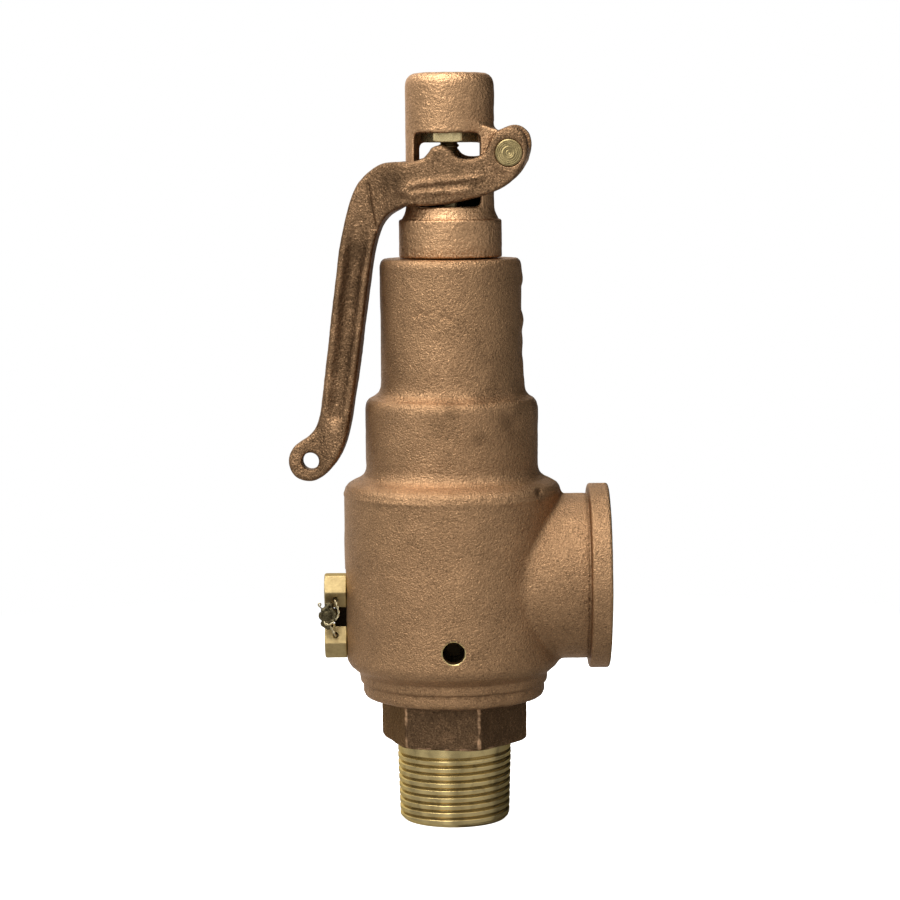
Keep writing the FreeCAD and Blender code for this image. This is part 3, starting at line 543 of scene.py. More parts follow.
def body_field(p):
    x, y, z = p[:, 0], p[:, 1], p[:, 2]
    r = np.hypot(x, y)
    ro = np.hypot(y, z - OUT_Z)
    shell = f_outer(r, z)
    # a little flash and swelling where the two mould halves met, left and right
    side = np.exp(-(y / 1.3) ** 2)
    uneven = noise(p, 6.5, 3)
    seam = side * (0.10 + 0.16 * noise(p, 4.0, 4)) * np.clip((z - 39) / 4, 0, 1)
    east = np.exp(-(y / 5.5) ** 2) * (x > 0) * np.clip((z - 124) / 6, 0, 1) * np.clip((163 - z) / 5, 0, 1)
    seam = seam + east * np.clip(0.25 + 1.1 * uneven, 0, 0.9)
    west = np.exp(-(y / 3.0) ** 2) * (x < 0) * np.exp(-((z - 46.5) / 2.2) ** 2)
    seam = seam + west * np.clip(0.3 + 1.2 * noise(p, 2.2, 6), 0, 0.8)
    shell = shell - seam * (r > 15)
    # the lip that stands slightly proud along the shoulder
    lip = np.exp(-((z - 96.7) / 0.55) ** 2) * np.clip(0.30 + 0.35 * noise(p, 9.0, 7), 0, 0.5)
    shell = shell - lip * (r > 29) * (y < 6) * 0.55
    # small cast stop between the two screw heads
    neck = np.maximum(np.maximum(ro - 24.45, x - 42.0), 4.0 - x)
    d = smin(shell, neck, 1.3)
    band = smax(ro - 27.34, np.maximum(39.5 - x, x - 45.9), 0.9)
    d = smin(d, band, 0.45)
    # a thin turned line where the band meets the neck
    d = d + 0.22 * np.exp(-((x - 39.35) / 0.3) ** 2) * (ro > 23)
    # faint parting line along the neck
    d = d - 0.28 * np.exp(-((y + 1.0) / 0.7) ** 2) * (x > 26) * (x < 45.0) * (z > OUT_Z) * (0.6 + 0.5 * noise(p, 3.0, 8))
    grain = 0.08 * noise(p, 13.0, 1) + 0.020 * noise(p, 5.0, 2) + 0.011 * noise(p, 2.1, 5) + 0.022 * noise(p, 1.15, 9)
    foot = np.clip((40.9 - z) / 0.5, 0, 1) * (np.hypot(x, y) > 21.0)
    grain = grain + foot * (0.10 * noise(p, 1.5, 61) + 0.08 * noise(p, 0.95, 62))
    d = d + 0.14 - grain
    # a few casting scars
    i = np.clip(((x + 30) * 8).astype(np.int32), 0, 479)
    j = np.clip(((z - 40) * 8).astype(np.int32), 0, 1023)
    u, v = (x + 30) * 8 - i, (z - 40) * 8 - j
    sc = (SCAR[i, j] * (1 - u) + SCAR[i + 1, j] * u) * (1 - v) + (SCAR[i, j + 1] * (1 - u) + SCAR[i + 1, j + 1] * u) * v
    d = d + sc * (y < 0) * (np.abs(x) < 29.5) * (z < 165)
    # one long shallow scratch on the bonnet
    sx, sz, ex, ez = -4.6, 143.2, -0.6, 137.6
    t = np.clip(((x - sx) * (ex - sx) + (z - sz) * (ez - sz)) / ((ex - sx) ** 2 + (ez - sz) ** 2), 0, 1)
    q = np.hypot(x - sx - t * (ex - sx), z - sz - t * (ez - sz))
    d = d + 0.16 * np.exp(-(q / 0.28) ** 2) * (y < 0) * (r > 18)
    inner = f_inner(r, z) + 0.05 * noise(p, 4.0, 11)
    inner = smin(inner, np.maximum(ro - 18.4, np.maximum(20.0 - x, x - 50)), 1.0)
    d = smax(d, -inner, 0.5)
    # machined: outlet face and bore, drain, screw holes and spot faces
    d = np.maximum(d, x - FACE_X)
    bore = np.maximum(ro - 21.2, BORE_X - x)
    bevel = (ro - 22.3 + (FACE_X - x)) * 0.7071
    d = np.maximum(d, -np.minimum(bore, bevel))
    rd = np.hypot(x, z - 54.4)
    hole = np.maximum(rd - 3.15, y + 22)
    rim = np.maximum((rd - 3.50 + (y + 31.8)) * 0.7071, y + 22)
    d = np.maximum(d, -np.minimum(hole, rim))
    for zz in (68.0, 53.0):
        rs = np.hypot(y, z - zz)
        d = np.maximum(d, -np.maximum(rs - 3.04, x + 22))
        d = smax(d, -np.maximum(rs - 6.3, x + 31.35), 0.25)
    # small stop between the two screw heads; body_pick paints it black as shade
    stop = smax(smax(np.abs(y) - 2.8, np.abs(z - 60.5) - 2.74, 0.3), np.abs(x + 31.0) - 3.9, 0.3)
    return np.minimum(d, stop)


rng = np.random.default_rng(7)
SCARS = [(-8.6, 150.6, 0.7, 0.35, 1), (-6.9, 149.9, 0.5, 0.40, 1), (-5.2, 150.8, 0.6, 0.30, 1), (-2.6, 149.4, 0.55, 0.45, 1),
         (-0.6, 148.6, 0.7, 0.45, 1), (-1.4, 150.0, 0.5, 0.30, 1), (-10.4, 149.6, 0.5, 0.25, 1), (-3.8, 152.0, 0.5, 0.25, 1),
         (0.9, 93.6, 0.6, -0.10, 1), (24.8, 98.6, 0.9, 0.55, 1), (-21.0, 86.0, 0.5, -0.15, 1), (15.5, 83.0, 0.45, 0.2, 1)]
for _ in range(60):
    z = rng.uniform(46, 162)
    lim = 20 if z > 126 else 24
    SCARS.append((rng.uniform(-lim, lim), z, rng.uniform(0.25, 0.6), rng.uniform(-0.16, 0.22), 1))


SCAR = np.zeros((481, 1025))
gx, gz = np.meshgrid(np.arange(481) / 8 - 30, np.arange(1025) / 8 + 40, indexing="ij")
for cx, cz, rr, depth, on in SCARS:
    SCAR += depth * np.exp(-((gx - cx) ** 2 + (gz - cz) ** 2) / rr ** 2)


def body_pick(c):
    """Machined faces of the casting take the machined material; the inside of the casting and the stop between the
    screw heads take the black painted-shade material.
    """
    ro = np.hypot(c[:, 1], c[:, 2] - OUT_Z)
    rs = np.minimum(np.hypot(c[:, 1], c[:, 2] - 68.0), np.hypot(c[:, 1], c[:, 2] - 53.0))
    rd = np.hypot(c[:, 0], c[:, 2] - 54.4)
    m = ((c[:, 0] > 45.35) & (ro < 26.75)) | ((ro < 22.35) & (c[:, 0] > 27.7))
    m |= (rs < 6.25) & (c[:, 0] < -31.1) & (c[:, 0] > -31.6)
    m |= (rd < 3.48) & (c[:, 1] < -30.6)
    rad = np.hypot(c[:, 0], c[:, 1])
    depth = f_outer(rad, c[:, 2])
    # painted shade: the inside of the casting, seen through the drain hole, and the stop between the screw heads go
    # black
    dark = (rad < 27.6) & (c[:, 2] > 38.5) & (c[:, 2] < 160) & (depth < -2.6) & (c[:, 0] < 24)
    dark |= (c[:, 0] < -31.25) & (np.abs(c[:, 1]) < 3.3) & (np.abs(c[:, 2] - 60.9) < 3.6)
    return np.where(dark, 2, m.astype(int))


body = from_field("valve_body", body_field, (-35.8, -32.4, 36.2), (46.2, 32.4, 172.0), 0.5, "valve",
                  [BODY, THREAD, SHADE], pick=body_pick)
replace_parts(body, "body_casting")
co = np.empty(len(body.data.vertices) * 3, np.float32)
body.data.vertices.foreach_get("co", co)
co = co.reshape(-1, 3) / MM
hol = np.empty(len(co), np.float32)
body.data.attributes["hollow"].data.foreach_get("value", hol)
# painted shade: the stop between the screw heads and the inside seen through the drain hole get the strongest hollow
# darkening
near = (co[:, 0] < -30.9) & (np.abs(co[:, 1]) < 3.2) & (np.abs(co[:, 2] - 60.5) < 3.0)
rad = np.hypot(co[:, 0], co[:, 1])
deep = (rad < 27.6) & (co[:, 2] < 160) & (co[:, 2] > 37.5) & (f_outer(rad, co[:, 2]) < -2.2) & (co[:, 0] < 26)
hol = np.where(near | deep, np.maximum(hol, 0.9), hol)
skin = (co[:, 2] < 41.0) & (rad > 21.0)
# more painted shade through the hollow value, front only: strongest on the waist under the bonnet's overhang, lighter
# at the bonnet foot, a pit on the right shoulder, just below the shoulder, the upper left of the bonnet and the right
# of the waist
for px, pz, wx, wz, amount in ((8.0, 121.0, 16.0, 10.0, 0.62), (-2.0, 132.0, 20.0, 4.0, 0.16), (24.0, 98.5, 5.0, 2.2, 0.5),
                               (-14.0, 161.0, 9.0, 4.0, 0.22), (5.0, 96.0, 22.0, 2.6, 0.12), (21.0, 118.0, 6.0, 14.0, 0.2)):
    q = ((co[:, 0] - px) / wx) ** 2 + ((co[:, 2] - pz) / wz) ** 2
    hol = hol + amount * np.exp(-q) * (co[:, 1] < 0) * np.clip(0.7 + 0.8 * noise(co, 4.0, 68), 0, 1.5)
hol = np.clip(hol, 0, 1)
hol = np.where(skin, np.clip(hol + 0.55 * noise(co, 1.2, 63), 0, 1), hol)
body.data.attributes["hollow"].data.foreach_set("value", hol.astype(np.float32))
wr = np.empty(len(co), np.float32)
body.data.attributes["wear"].data.foreach_get("value", wr)
wr = np.where(skin, np.clip(wr + 0.35 * noise(co, 1.0, 64), 0, 1), wr)
body.data.attributes["wear"].data.foreach_set("value", wr.astype(np.float32))


# =====================================================================  female pipe thread in the outlet
def ridge(u, crest=0.13, root=0.12):
    """Thread section: 1 on the crest, 0 in the root, u counted in pitches."""
    w = np.abs((u % 1.0) - 0.5) * 2
    return np.clip((1 - w - root) / (1 - crest - root), 0, 1)


def grid_faces(rows, cols, wrap_rows=False):
    i, j = np.meshgrid(np.arange(rows if wrap_rows else rows - 1), np.arange(cols), indexing="ij")
    ii, jn = (i + 1) % rows, (j + 1) % cols
    return np.stack([i * cols + j, i * cols + jn, ii * cols + jn, ii * cols + j], -1).reshape(-1, 4)


def outlet_thread():
    pitch, cols = 2.209, 160
    xs = np.arange(0, 17.9, 0.14)                    # depth from the face
    a = np.arange(cols) * 2 * math.pi / cols
    X, A = np.meshgrid(xs, a, indexing="ij")
    r = 20.95 - X * 0.008 - 1.30 * ridge(X / pitch - A / (2 * math.pi))
    r = np.maximum(r, 22.15 - X * 1.0)               # bevelled entry
    r = np.where(X > 16.6, np.minimum(r, 20.9 - (X - 16.6) * 1.2), r)
    rows = [np.stack([FACE_X - X, -r * np.sin(A), OUT_Z + r * np.cos(A)], -1)]
    for xx, rr in ((17.95, 18.6), (17.95, 21.6), (0.45, 21.6)):
        rows.append(np.stack([np.full(cols, FACE_X - xx), -rr * np.sin(a), OUT_Z + rr * np.cos(a)], -1)[None])
    v = np.concatenate(rows)
    n = v.shape[0]
    return make_object("outlet_thread", v.reshape(-1, 3), grid_faces(n, cols, True), "valve", THREAD)


othread = outlet_thread()
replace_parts(othread, "body_casting")


# =====================================================================  nozzle: hexagon, hidden neck and seat, male pipe thread
NECK = Field([(-6, 30.0), (18.0, 30.0), (18.0, 45.4), (14.0, 45.4), (14.0, 57.0), (12.6, 57.0), (12.6, 60.0), (-6, 60.0)],
             step=0.15, pad=6, soft=0.15)
BORE = Field([(-6, 10.0), (12.2, 10.0), (12.2, 40.0), (10.2, 52.0), (10.2, 70.0), (-6, 70.0)], step=0.15, pad=6)


def nozzle_field(p):
    x, y, z = p[:, 0], p[:, 1], p[:, 2]
    r = np.hypot(x, y)
    hx = None
    for i in range(6):
        a = math.radians(49.5 + 30 + 60 * i)
        e = x * math.cos(a) + y * math.sin(a) - 21.997 * math.cos(math.radians(30))
        hx = e if hx is None else smax(hx, e, 0.7)
    hx = smax(hx, np.maximum(23.5 - z, z - 36.5), 0.5)
    hx = smax(hx, (r - 20.7 - (z - 23.5) * 1.35) * 0.6, 0.5)
    hx = hx + 0.10 - 0.06 * noise(p, 5.0, 21) - 0.05 * noise(p, 1.7, 22) - 0.035 * noise(p, 0.9, 23)
    for cx, cz, rr in ((-2.0, 29.5, 0.5), (3.5, 27.2, 0.4), (-9.5, 28.0, 0.45), (13.2, 30.6, 0.6), (15.1, 27.9, 0.5), (-17.0, 30.5, 0.6)):
        q = np.sqrt((x - cx) ** 2 + (z - cz) ** 2) / rr
        hx = hx + 0.22 * np.exp(-q * q) * (y < 0)
    d = np.minimum(hx, NECK(r, z))
    return np.maximum(d, -BORE(r, z))


def nozzle_pick(c):
    r = np.hypot(c[:, 0], c[:, 1])
    return ((r < 18.2) & ((c[:, 2] > 36.6) | (r < 12.5)) | ((r < 17.6) & (c[:, 2] < 23.9))).astype(int)


noz = from_field("nozzle_hexagon", nozzle_field, (-22.2, -22.2, 23.2), (22.2, 22.2, 60.2), 0.38, "valve",
                 [HEX, THREAD], pick=nozzle_pick)
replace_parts(noz, "nozzle")
co = np.empty(len(noz.data.vertices) * 3, np.float32)
noz.data.vertices.foreach_get("co", co)
co = co.reshape(-1, 3) / MM
wr = np.empty(len(co), np.float32)
noz.data.attributes["wear"].data.foreach_get("value", wr)
for i in range(6):
    a = math.radians(49.5 + 60 * i)
    away = np.hypot(co[:, 0] - 21.6 * math.cos(a), co[:, 1] - 21.6 * math.sin(a))
    wr = np.maximum(wr, 1.25 * np.exp(-(away / 0.62) ** 2) * np.clip(0.75 + 0.6 * noise(co, 2.0, 65), 0, 1))
wr = np.maximum(wr, 0.85 * np.exp(-((co[:, 2] - 23.9) / 0.45) ** 2) * (np.hypot(co[:, 0], co[:, 1]) > 18.5)
                * np.clip(0.4 + 0.8 * noise(co, 1.6, 66), 0, 1))
noz.data.attributes["wear"].data.foreach_set("value", np.clip(wr, 0, 1).astype(np.float32))


def inlet_thread():
    pitch, cols = 2.209, 200
    zs = np.arange(0.0, 24.6, 0.1)
    a = np.arange(cols) * 2 * math.pi / cols
    Z, A = np.meshgrid(zs, a, indexing="ij")
    crest = 16.22 + 0.03125 * (Z - 1.4)
    depth = 0.75 * np.clip((22.9 - Z) / 2.8, 0, 1) * np.clip((Z - 0.2) / 1.2, 0.15, 1)
    f = ridge((Z - 1.1) / pitch - A / (2 * math.pi), 0.50, 0.03)
    r = crest - depth * (1 - f)
    r = np.where(Z > 19.6, np.minimum(r, 16.74), r)
    r = np.minimum(r, 15.15 + Z * 0.95)
    wob = noise(np.stack([np.cos(A) * 16, np.sin(A) * 16, Z * 0.35], -1).reshape(-1, 3), 3.0, 31).reshape(A.shape)
    r = r + 0.02 * wob
    rows = [np.stack([r * np.cos(A), r * np.sin(A), Z], -1)]
    for rr, zz in ((15.0, 24.7), (12.25, 24.7), (12.2, 24.0), (12.2, 0.9), (12.3, 0.55), (12.75, 0.0), (13.4, 0.0), (14.6, 0.0)):
        rows.append(np.stack([rr * np.cos(a), rr * np.sin(a), np.full(cols, zz)], -1)[None])
    v = np.concatenate(rows)
    ob = make_object("inlet_thread", v.reshape(-1, 3), grid_faces(v.shape[0], cols, True), "valve", THREAD)
    # painted shade in the thread roots, through the hollow value
    h = np.zeros(v.shape[:2])
    h[:len(zs)] = np.clip((1 - f) * depth / 0.75, 0, 1) ** 1.5 * 0.75
    paint(ob, "hollow", h.ravel())
    return ob


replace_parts(inlet_thread(), "nozzle")


# =====================================================================  cap
def arc_pts(cx, cz, r, a0, a1, n=7):
    return [(cx + r * math.cos(math.radians(a)), cz + r * math.sin(math.radians(a))) for a in np.linspace(a0, a1, n)]


CAP_OUT = [(-6, 165.7), (14.9, 165.7), (15.1, 166.1), (15.1, 176.5), (14.75, 177.0), (14.1, 177.3), (13.55, 178.2),
           (13.15, 179.3), (12.95, 180.4), (12.95, 215.2), (12.8, 216.5), (12.35, 217.5), (11.5, 218.4), (10.3, 218.95), (9.0, 219.1), (-6, 219.1)]
CAP_IN = [(-6, 160.0), (11.85, 160.0), (11.85, 171.6), (10.6, 172.8), (10.6, 213.9), (9.1, 215.4), (-6, 215.4)]
EAR = [(6.0, 186.0), (11.5, 187.2)] + arc_pts(17.8, 195.87, 5.3, -60, 90, 9) + [(11.5, 203.6), (6.0, 204.4)]
PIN_X, PIN_Z = 17.8, 195.87
f_cap_out = Field(CAP_OUT, step=0.1, pad=8, soft=0.28)
f_cap_in = Field(CAP_IN, step=0.12, pad=8, soft=0.2)
f_ear = Field(EAR, step=0.1, pad=10, soft=0.3)


def cap_field(p):
    x, y, z = p[:, 0], p[:, 1], p[:, 2]
    r = np.hypot(x, y)
    out = f_cap_out(r, z)
    ear = smax(f_ear(x, z), np.abs(y) - 9.3, 0.8)
    d = smin(out, ear, 1.6)
    d = d - 0.22 * np.exp(-((y - 0.6) / 0.8) ** 2) * (x > 0) * (z > 205) * (0.5 + 0.5 * noise(p, 3.5, 43))
    d = d + 0.12 - 0.07 * noise(p, 9.0, 41) - 0.05 * noise(p, 3.0, 42) - 0.04 * noise(p, 1.4, 44) - 0.02 * noise(p, 0.8, 45)
    wave = 1.6 * np.clip(np.abs(y) / 8.0, 0, 1)
    # at the back the sill rises towards the ear and the top corners are filled
    back = np.clip(y / 3.0, 0, 1)
    sill = 180.5 + back * (2.0 + 0.9 * np.clip(x / 5.0, 0, 1))
    head = 201.7 - back * 2.7 * np.clip((np.abs(x) - 4.6) / 1.4, 0, 1)
    win = smax(np.abs(x + 0.17) - 7.97 - wave, np.maximum(sill - z, z - head + 0.2 * noise(p, 5.0, 46)), 2.2)
    # the lintel and the jambs are drawn in a little round the opening
    d = smax(d, -win, 0.9)
    d = smax(d, -f_cap_in(r, z), 0.4)
    d = np.maximum(d, -(np.hypot(x - PIN_X, z - PIN_Z) - 4.03))
    # shallow dressed line under the skirt's shoulder
    d = d + 0.18 * np.exp(-((z - 176.95) / 0.3) ** 2) * (r > 13.5)
    return d


def cap_pick(c):
    r = np.hypot(c[:, 0], c[:, 1])
    # painted shade: inner faces of the cap below 187 mm take the black shade material
    return ((f_cap_in(r, c[:, 2]) < 0.55) & (c[:, 2] < 187.0)).astype(int)


cap = from_field("valve_cap", cap_field, (-15.4, -15.4, 165.4), (24.0, 15.4, 219.4), 0.34, "valve",
                 [CAP, SHADE], turn=True, pick=cap_pick)
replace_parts(cap, "cap")


# =====================================================================  lever
SIDE = [(-40.81, 100.2), (-38.58, 101.2), (-36.9, 102.5), (-34.65, 104.9), (-33.02, 107.3), (-31.76, 109.9),
        (-30.7, 113.0), (-29.8, 116.6), (-29.0, 120.8), (-27.76, 128.6), (-26.62, 136.2), (-25.55, 144.2),
        (-24.48, 152.0), (-23.44, 159.9), (-22.3, 166.9), (-21.0, 172.0), (-19.6, 175.6), (-17.7, 177.9),
        (-15.3, 179.4), (-12.6, 180.5), (-9.5, 180.9), (-4.4, 180.8), (1.0, 181.4), (6.4, 182.5), (11.2, 183.8),
        (15.2, 185.4), (17.5, 186.8), (19.6, 188.7), (21.2, 190.8), (22.35, 193.1), (23.1, 195.6), (23.3, 198.0),
        (22.8, 200.4), (21.7, 201.9), (20.1, 203.0), (18.1, 203.34), (15.9, 202.8), (13.6, 201.5), (12.2, 199.2),
        (11.3, 196.9), (9.7, 195.2), (7.4, 194.4), (4.9, 194.3), (2.9, 195.0), (1.1, 196.8), (-1.5, 198.15),
        (-4.1, 197.6), (-5.6, 195.8), (-7.4, 194.3), (-11.0, 193.6), (-15.1, 193.6), (-18.6, 193.3), (-21.4, 192.2),
        (-24.2, 190.0), (-26.4, 187.5), (-28.2, 184.2), (-29.9, 179.0), (-31.2, 173.8), (-32.3, 168.0),
        (-33.35, 160.0), (-34.5, 151.6), (-35.65, 142.5), (-36.9, 133.2), (-38.1, 124.2), (-38.9, 119.6),
        (-40.2, 116.1), (-42.3, 113.6), (-44.9, 111.8), (-46.9, 110.0), (-48.1, 107.3), (-47.9, 104.2),
        (-46.3, 101.6), (-43.7, 100.3)]
PLAN = [(-52.0, 2.75), (-39.2, 2.75), (-36.5, 4.2), (-33.0, 4.9), (-28.0, 5.1), (-24.5, 5.5), (-22.0, 6.3),
        (-19.0, 8.2), (-16.5, 10.2), (-14.0, 12.0), (-11.5, 13.1), (-9.0, 13.4), (30.0, 13.4)]
CAM = [(-4.9, 190.5), (1.6, 190.5), (1.3, 196.5), (0.2, 197.5), (-1.5, 198.1), (-3.4, 197.8), (-4.7, 196.9)]
CHANNEL = [(-28.3, 176.0), (-29.3, 171.5), (-30.9, 160.0), (-33.2, 142.0), (-35.7, 123.0), (-35.6, 119.8),
           (-34.0, 118.4), (-32.4, 119.6), (-31.3, 124.0), (-28.6, 142.0), (-26.1, 160.0), (-24.6, 171.0),
           (-25.2, 174.6), (-26.6, 176.8)]
f_side = Field(loop_spline(SIDE), step=0.12, pad=6, soft=0.12)
f_plan = Field(PLAN + [(x, -y) for x, y in reversed(PLAN)], step=0.12, pad=6, soft=0.9)
f_cam = Field(CAM, step=0.1, pad=14, soft=0.3)
f_channel = Field(loop_spline(CHANNEL, 4), step=0.12, pad=8, soft=0.3)


def bead(x, z, pts, radius, height):
    """A low rounded bead along a polyline in the side view."""
    best = np.full(x.shape, 1e9)
    for (ax, az), (bx, bz) in zip(pts[:-1], pts[1:]):
        t = np.clip(((x - ax) * (bx - ax) + (z - az) * (bz - az)) / ((bx - ax) ** 2 + (bz - az) ** 2), 0, 1)
        best = np.minimum(best, np.hypot(x - ax - t * (bx - ax), z - az - t * (bz - az)))
    return height * np.exp(-(best / radius) ** 2 * 1.2)


RIDGE_UP = [(-13.0, 185.0), (-11.2, 186.4), (-7.5, 187.2), (-4.8, 187.6), (2.4, 188.1), (9.2, 188.7)]
RIDGE_LOW = [(-12.6, 184.8), (-10.4, 184.1), (-7.0, 184.5), (-2.0, 184.9), (3.0, 185.1), (6.0, 185.3)]


def lever_field(p):
    x, y, z = p[:, 0], p[:, 1], p[:, 2]
    ay = np.abs(y)
    side = f_side(x, z - 0.8 * (y > 0) * np.clip((x + 15.0) / 7.0, 0, 1))
    plan = f_plan(x, y)
    # raised oval on the outer faces of the arms, a shallow dish behind the pin boss
    relief = bead(x, z, RIDGE_UP, 1.15, 0.60) + bead(x, z, RIDGE_LOW, 1.3, 0.66)
    relief = relief - bead(x, z, [(-9.6, 185.5), (-3.0, 186.3), (4.5, 186.9)], 0.9, 0.26)
    plan = plan + bead(x, z, [(-23.3, 187.0), (-22.6, 180.5), (-21.3, 174.6)], 0.62, 0.55) * (ay > 3.0)
    relief = relief + 0.16 * np.exp(-((np.hypot(x - PIN_X, z - PIN_Z) - 5.2) / 0.7) ** 2)
    d = smax(side, plan - relief * (ay > 8), 1.5)
    inner = np.where(x < -9.0, np.hypot(x, y) - 13.35, ay - 9.9)
    d = smax(d, -inner, 0.7)
    cam = smax(f_cam(x, z), np.maximum(4.6 - ay, ay - 10.6), 0.5)
    d = smin(d, cam, 0.8)
    ch = smax(f_channel(x, z) + 0.2, 3.5 + 2.6 * np.clip((z - 163.0) / 13.0, 0, 1) ** 1.5 - ay, 2.2)
    d = smax(d, -ch, 1.8)
    d = d + 0.10 - 0.08 * noise(p, 7.0, 51) - 0.035 * noise(p, 2.6, 52) - 0.03 * noise(p, 1.3, 53) - 0.025 * noise(p, 0.8, 54)
    d = np.maximum(d, -(np.hypot(x - PIN_X, z - PIN_Z) - 3.99))
    eye = np.hypot(x + 41.63, z - 106.22) - 2.5
    return smax(d, -eye, 1.0)


lever = from_field("test_lever_arm", lever_field, (-48.6, -14.2, 99.8), (23.8, 14.2, 203.8), 0.38,
                   "test_lever", LEVER, turn=True)
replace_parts(lever, "lever")
co = np.empty(len(lever.data.vertices) * 3, np.float32)
lever.data.vertices.foreach_get("co", co)
co = co.reshape(-1, 3) / MM
hol = np.empty(len(co), np.float32)
lever.data.attributes["hollow"].data.foreach_get("value", hol)
# more painted shade through the hollow value: the handle darkens below the arms, with patches on the upper-left arm and
# at the cam
hol = hol + 0.30 * np.clip((181.0 - co[:, 2]) / 12.0, 0, 1) * np.clip((co[:, 2] - 110.0) / 8.0, 0.2, 1) * (0.7 + 0.5 * noise(co, 6.0, 67))
hol = hol + 0.30 * np.exp(-((co[:, 0] + 15.0) / 7.0) ** 2 - ((co[:, 2] - 189.0) / 3.2) ** 2)
hol = hol + 0.34 * np.exp(-((co[:, 0] + 18.0) / 6.5) ** 2 - ((co[:, 2] - 185.5) / 6.0) ** 2)
hol = hol + 0.20 * np.exp(-((co[:, 0] + 3.0) / 5.0) ** 2 - ((co[:, 2] - 194.0) / 4.0) ** 2)
lever.data.attributes["hollow"].data.foreach_set("value", np.clip(hol, 0, 1).astype(np.float32))

# hinge pin: turned ends with rings round a small centre
ring = [(0.0, 13.42), (0.25, 13.44), (0.35, 13.50)]
for rr in np.arange(0.5, 3.5, 0.11):
    ring.append((rr, 13.52 - 0.010 * rr + 0.014 * math.sin(rr * 2 * math.pi / 0.55) + (0.05 if abs(rr - 1.6) < 0.15 else 0)
                 - (0.05 if abs(rr - 0.75) < 0.1 else 0)))
ring += [(3.55, 13.47), (3.75, 13.40), (3.90, 13.26), (3.96, 13.05)]
pin_prof = [(r, -h) for r, h in ring] + [(3.96, -9.0), (3.96, 0.0), (3.96, 9.0)] + [(r, h) for r, h in reversed(ring)]
pin = lathe("hinge_pin", pin_prof, "test_lever", PIN, turns=96, axis="Y", at=(PIN_X, PIN_Z), turn=True)
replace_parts(pin, "lever_pin")


# =====================================================================  ring set screws, drilled for the seal wire
def screw_field(zz, dz, tip, turn):
    def f(p):
        x, y, z = p[:, 0], p[:, 1], p[:, 2]
        r = np.hypot(y, z - zz)
        hx = None
        for i in range(6):
            a = math.radians(turn + 30 + 60 * i)
            e = y * math.cos(a) + (z - zz) * math.sin(a) - 5.485 * math.cos(math.radians(30))
            hx = e if hx is None else smax(hx, e, 0.22)
        head = smax(hx, np.maximum(-37.9 - x, x + 31.36), 0.25)
        head = smax(head, (r - 4.95 - (x + 37.9) * 1.4) * 0.58, 0.2)
        head = head + 0.02 - 0.02 * noise(p, 1.6, 61) - 0.012 * noise(p, 0.6, 62)
        d = np.minimum(head, np.maximum(r - 3.0, np.maximum(-31.6 - x, x + 22)))
        d = np.minimum(d, np.maximum(r - 1.7, np.maximum(-22.2 - x, x + tip)))
        hole = np.hypot(x + 34.6, z - zz - dz)
        d = smax(d, -(hole - 0.8), 0.15)
        ends = (hole - 1.15 + (5.0 - np.abs(y))) * 0.7
        return np.maximum(d, -np.maximum(ends, hole - 1.5)) if dz else d
    return f


for node, zz, dz, tip in (("upper_set_screw", 68.0, -2.1, 16.0), ("lower_set_screw", 53.0, 2.3, 16.6)):
    ob = from_field("drilled_" + node, screw_field(zz, dz, tip, 0.0), (-38.0, -5.7, zz - 5.7), (-tip + 0.1, 5.7, zz + 5.7),
                    0.15, "valve", SCREW)
    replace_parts(ob, node)


# =====================================================================  lift nut and stem
def nut_field(low, tall, corner, bore, turn):
    def f(p):
        x, y, z = p[:, 0], p[:, 1], p[:, 2]
        r = np.hypot(x, y)
        hx = None
        for i in range(6):
            a = math.radians(turn + 30 + 60 * i)
            e = x * math.cos(a) + y * math.sin(a) - corner * math.cos(math.radians(30))
            hx = e if hx is None else smax(hx, e, 0.25)
        d = smax(hx, np.maximum(low - z, z - low - tall), 0.2)
        d = smax(d, (r - corner + 0.75 - np.minimum(z - low, low + tall - z) * 1.7) * 0.5, 0.15)
        d = smax(d, -(r - bore), 0.15)
        return smax(d, -(r - bore - 0.5 + np.minimum(z - low, low + tall - z)) * 0.7, 0.1) + 0.01 - 0.01 * noise(p, 1.2, 66)
    return f


for node, args in (("lift_nut", (199.0, 5.5, 8.25, 2.79, 55.0)), ("lift_jam_nut", (204.6, 3.6, 7.33, 2.79, 20.0))):
    ob = from_field("threaded_" + node, nut_field(*args), (-8.4, -8.4, args[0] - 0.1), (8.4, 8.4, args[0] + args[1] + 0.1),
                    0.18, "spindle", BRASS)
    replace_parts(ob, node)


def stem_piece():
    pitch, cols = 1.4, 48
    zs = np.concatenate([[68.2, 68.2, 69.2], np.arange(72, 109, 4.0), [109.5, 109.5, 109.8, 111.7, 112.0, 112.0],
                         np.arange(114, 184, 5.0), [184.0, 184.4], np.arange(184.7, 210.9, 0.1), [210.9, 211.0, 211.0]])
    rb = np.full(len(zs), 3.175)
    rb[0], rb[1], rb[2] = 0.0, 2.2, 3.175
    k = int(np.argmax(zs >= 109.5))
    rb[k:k + 6] = [3.175, 5.9, 6.2, 6.2, 5.9, 3.175]
    a = np.arange(cols) * 2 * math.pi / cols
    Z, A = np.meshgrid(zs, a, indexing="ij")
    R = np.repeat(rb[:, None], cols, 1)
    th = Z > 184.5
    R = np.where(th, 2.75 - 0.52 * (1 - ridge(Z / pitch - A / (2 * math.pi), 0.12, 0.12)), R)
    R = np.where(Z > 210.5, np.minimum(R, 2.6 - (Z - 210.5) * 0.8), R)
    R[-1] = 0.0
    v = np.stack([R * np.cos(A), R * np.sin(A), Z], -1).reshape(-1, 3)
    ob = make_object("threaded_stem", v, grid_faces(len(zs), cols), "spindle", STEM)
    # painted shade in the thread roots, through the hollow value
    paint(ob, "hollow", np.where(th, (2.75 - R) / 0.52 * 0.6, 0.1).ravel())
    return ob


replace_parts(stem_piece(), "stem")


